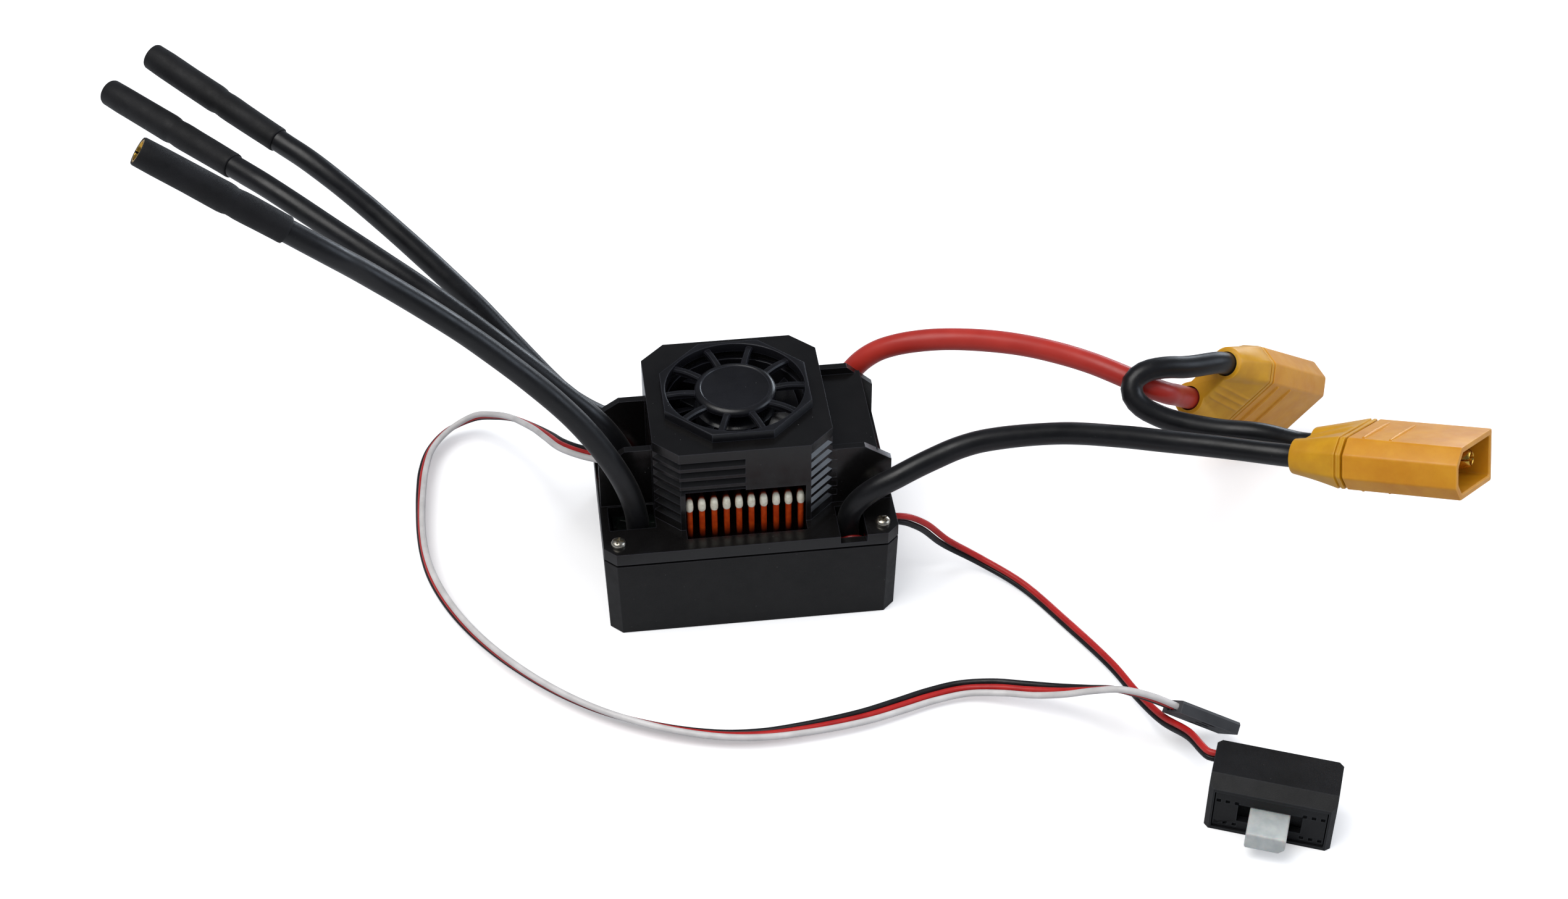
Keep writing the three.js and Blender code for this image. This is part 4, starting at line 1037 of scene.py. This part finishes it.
def fan_rotor():
    """Hub cup and seven twisted, curved blades; it turns with the fan's body."""
    low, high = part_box("fan_rotor")
    x, y = (low.x + high.x) / 2, (low.y + high.y) / 2
    hub, blade, blades = 8.2 * MM, 13.3 * MM, 7
    top, bottom = high.z, low.z
    roof, inside = top - 0.9 * MM, hub - 0.7 * MM
    cup = [
        (top, 0.0), (top, hub - 0.9 * MM), (top - 0.1 * MM, hub - 0.45 * MM), (top - 0.5 * MM, hub),
        (bottom, hub), (bottom, inside), (roof, inside), (roof, 0.0),
    ]
    parts = [placed(lathe_mesh("cup", cup, 96), upright(0, 0, 0))]
    steps, chords = 8, 7
    for k in range(blades):
        rings = []
        for i in range(steps + 1):
            t = i / steps
            radius = hub - 0.35 * MM + (blade - hub + 0.35 * MM) * t
            chord = (5.4 + 2.2 * t) * MM
            pitch = math.radians(40 - 12 * t)
            upper, lower = [], []
            for j in range(chords + 1):
                s = j / chords - 0.5
                camber = 0.35 * MM * (1 - (2 * s) ** 2)
                thick = 0.36 * MM * (1 - 0.75 * abs(2 * s) ** 2)
                swing = s * chord * math.cos(pitch) / radius + 0.16 * t
                for side, row in ((1, upper), (-1, lower)):
                    z = (top + bottom) / 2 + s * chord * math.sin(pitch) + camber + side * thick
                    row.append((radius * math.cos(swing), radius * math.sin(swing), z))
            rings.append(upper + lower[::-1])
        turn = Matrix.Rotation(2 * math.pi * k / blades + 0.2, 4, "Z")
        parts.append(placed(ring_mesh("blade", rings), turn))
    mesh = placed(union(parts), Matrix.Translation((x, y, 0)))
    adopt("fan_wheel", mesh, "fan_black", body=ROTOR, stands_for=["fan_rotor"], smooth=35)


# -------- switch


def slider():
    """Milky knob with a lower corner cut off, on a dark carriage. Local X slides, Y points inwards."""
    slide = Vector(next(j["axis"] for j in frame["joints"] if j["name"] == "switch_slide"))
    turn = axes_matrix((0, 0, 0), slide, Vector((0, 0, 1)).cross(slide))
    local = points_of("switch_slider") @ np.array(turn.to_3x3())
    low, high = local.min(0), local.max(0)
    carriage_front = local[local[:, 0] < low[0] + 0.1 * MM][:, 1].min()
    knob = local[local[:, 1] < low[1] + 0.5 * MM]
    x0, x1 = knob[:, 0].min(), knob[:, 0].max()
    z0, z1 = local[local[:, 1] < carriage_front - MM][:, 2].min(), knob[:, 2].max()
    cut = 1.1 * MM
    corners = [(x0, z0), (x1 - cut, z0), (x1, z0 + cut), (x1, z1), (x0, z1)]
    rings = [[(x, y, z) for x, z in corners] for y in (low[1], carriage_front + 0.3 * MM)]
    piece = adopt("switch_knob", placed(ring_mesh("knob", rings), turn), "knob", body=SLIDER,
                  stands_for=["switch_slider"], smooth=30)
    soften(piece, 0.4 * MM, 3)
    # The carriage takes the seal's near-black rubber finish as painted shade, so that the slot beside the
    # knob reads dark.
    block = block_mesh("carriage", low[0], high[0], carriage_front, high[1], low[2], high[2])
    soften(adopt("switch_carriage", placed(block, turn), "seal_rubber", body=SLIDER,
                 stands_for=["switch_slider"]), 0.2 * MM)


# -------- nodes that keep their CAD shape


def cad_nodes():
    dress("lower_case", "case_black", 0.28 * MM, 3)
    dress("upper_cover", "deck_black", 0.14 * MM, 2)
    dress("case_seal", "seal_rubber", 0.1 * MM)
    dress("fan_frame", "fan_black", 0.15 * MM)
    dress("fan_magnet_ring", "magnet", 0.1 * MM)
    dress("fan_shaft", "steel", 0.08 * MM)
    dress("fan_bearing", "brass", 0.05 * MM)
    dress("fan_stator", "stator", 0.08 * MM)
    dress("thermal_pad", "thermal", 0.2 * MM)
    for node in ("power_board", "control_board"):
        dress(node, "board_green", 0.1 * MM)
    for node in ("board_header", "microcontroller", *(f"mosfet_{k}" for k in range(1, 7))):
        dress(node, "chip_black", 0.1 * MM)
    for k in range(1, 4):
        dress(f"capacitor_{k}", "capacitor", 0.2 * MM, 3)
    dress("servo_plug", "plug_grey", 0.12 * MM)
    dress("switch_body", "switch_black", 0.35 * MM, 3)
    dress("switch_cover", "switch_black", 0.08 * MM)


# -------- floor, light and camera


def floor_finish():
    """A sheet that looks white to the camera but throws less light back up at the object."""
    s = Shader("floor", Roughness=0.9, Specular_IOR_Level=0.05)
    paper = s.mix(s.noise(60 * MM, 3), rgb(246, 246, 247), rgb(250, 250, 250))
    seen = s.node("LightPath").outputs["Is Camera Ray"]
    s.set("Base Color", s.mix(seen, rgb(190, 192, 196), paper))
    s.set("Emission Color", rgb(250, 250, 252))
    s.set("Emission Strength", s.math("MULTIPLY", seen, 0.3))
    return s.finish()


def floor():
    half = 3.0
    corners = [(-half, -half, 0), (half, -half, 0), (half, half, 0), (-half, half, 0)]
    mesh = raw_mesh("floor", corners, [(0, 1, 2, 3)])
    piece = bpy.data.objects.new("floor", mesh)
    mesh.materials.append(floor_finish())
    bpy.context.scene.collection.objects.link(piece)
    piece.location.z = cad_bounds[0].z - 0.05 * MM


# Each light: where it stands, its two sides in metres, its power in watts and its colour.
LIGHTS = {
    "window": ((1.1, -0.15, 0.56), (0.6, 0.6), 3.6, (0.76, 0.86, 1.0)),
    "rear_window": ((0.75, 0.95, 0.3), (0.5, 0.3), 4, (0.82, 0.9, 1.0)),
    "overhead": ((-0.5, -0.2, 1.4), (1.0, 1.0), 14, (1.0, 0.99, 0.97)),
}


def area_light(name, at, size, power, colour):
    """A soft rectangular light that faces the part."""
    light = bpy.data.lights.new(name, "AREA")
    light.shape = "RECTANGLE"
    light.size, light.size_y = size
    light.energy = power
    light.color = colour
    holder = bpy.data.objects.new(name, light)
    holder.location = at
    holder.rotation_euler = (-Vector(at)).to_track_quat("-Z", "Y").to_euler()
    bpy.context.scene.collection.objects.link(holder)


def surroundings():
    """A pale room: near white to the camera, dimmer as light and dimmer still in mirrored views."""
    world = bpy.data.worlds.new("studio")
    bpy.context.scene.world = world
    world.use_nodes = True
    tree = world.node_tree
    background = tree.nodes["Background"]
    path = tree.nodes.new("ShaderNodeLightPath")
    colour = (0.55, 0.56, 0.58, 1)
    for ray, seen in (("Is Glossy Ray", (0.12, 0.13, 0.15, 1)), ("Is Camera Ray", (0.93, 0.94, 0.95, 1))):
        blend = tree.nodes.new("ShaderNodeMix")
        blend.data_type = "RGBA"
        tree.links.new(path.outputs[ray], blend.inputs[0])
        if isinstance(colour, tuple):
            blend.inputs[6].default_value = colour
        else:
            tree.links.new(colour, blend.inputs[6])
        blend.inputs[7].default_value = seen
        colour = blend.outputs[2]
    tree.links.new(colour, background.inputs["Color"])


def camera():
    """The viewpoint: about 40 degrees above the floor and 7 degrees to the left of the front."""
    place = (-0.04137, -0.41101, 0.37116)
    heading, down, roll = (math.radians(angle) for angle in (7.013, 39.849, -0.145))
    lens = bpy.data.cameras.new("camera")
    lens.sensor_width = 36
    lens.lens = 60.07
    lens.clip_start, lens.clip_end = 0.01, 10
    level = Vector((math.cos(heading), -math.sin(heading), 0))
    ahead = Vector((math.sin(heading), math.cos(heading), 0))
    forward = ahead * math.cos(down) + Vector((0, 0, -math.sin(down)))
    right = level * math.cos(roll) + level.cross(forward) * math.sin(roll)
    holder = bpy.data.objects.new("camera", lens)
    holder.matrix_world = axes_matrix(place, right, right.cross(forward))
    bpy.context.scene.collection.objects.link(holder)
    bpy.context.scene.camera = holder


def build():
    cad_nodes()
    heatsink()
    fan_guard()
    fan_rotor()
    slider()
    leads()
    for index, letter in enumerate("abc"):
        sleeve(letter, 1.3 * index)
    for name in ("front", "rear"):
        connector(name)
    for index in range(1, 5):
        case_screw(index, 0.35 + 0.9 * index)
    floor()
    surroundings()
    for name, settings in LIGHTS.items():
        area_light(name, *settings)
    camera()
    bpy.context.scene.view_settings.view_transform = "Standard"


build()
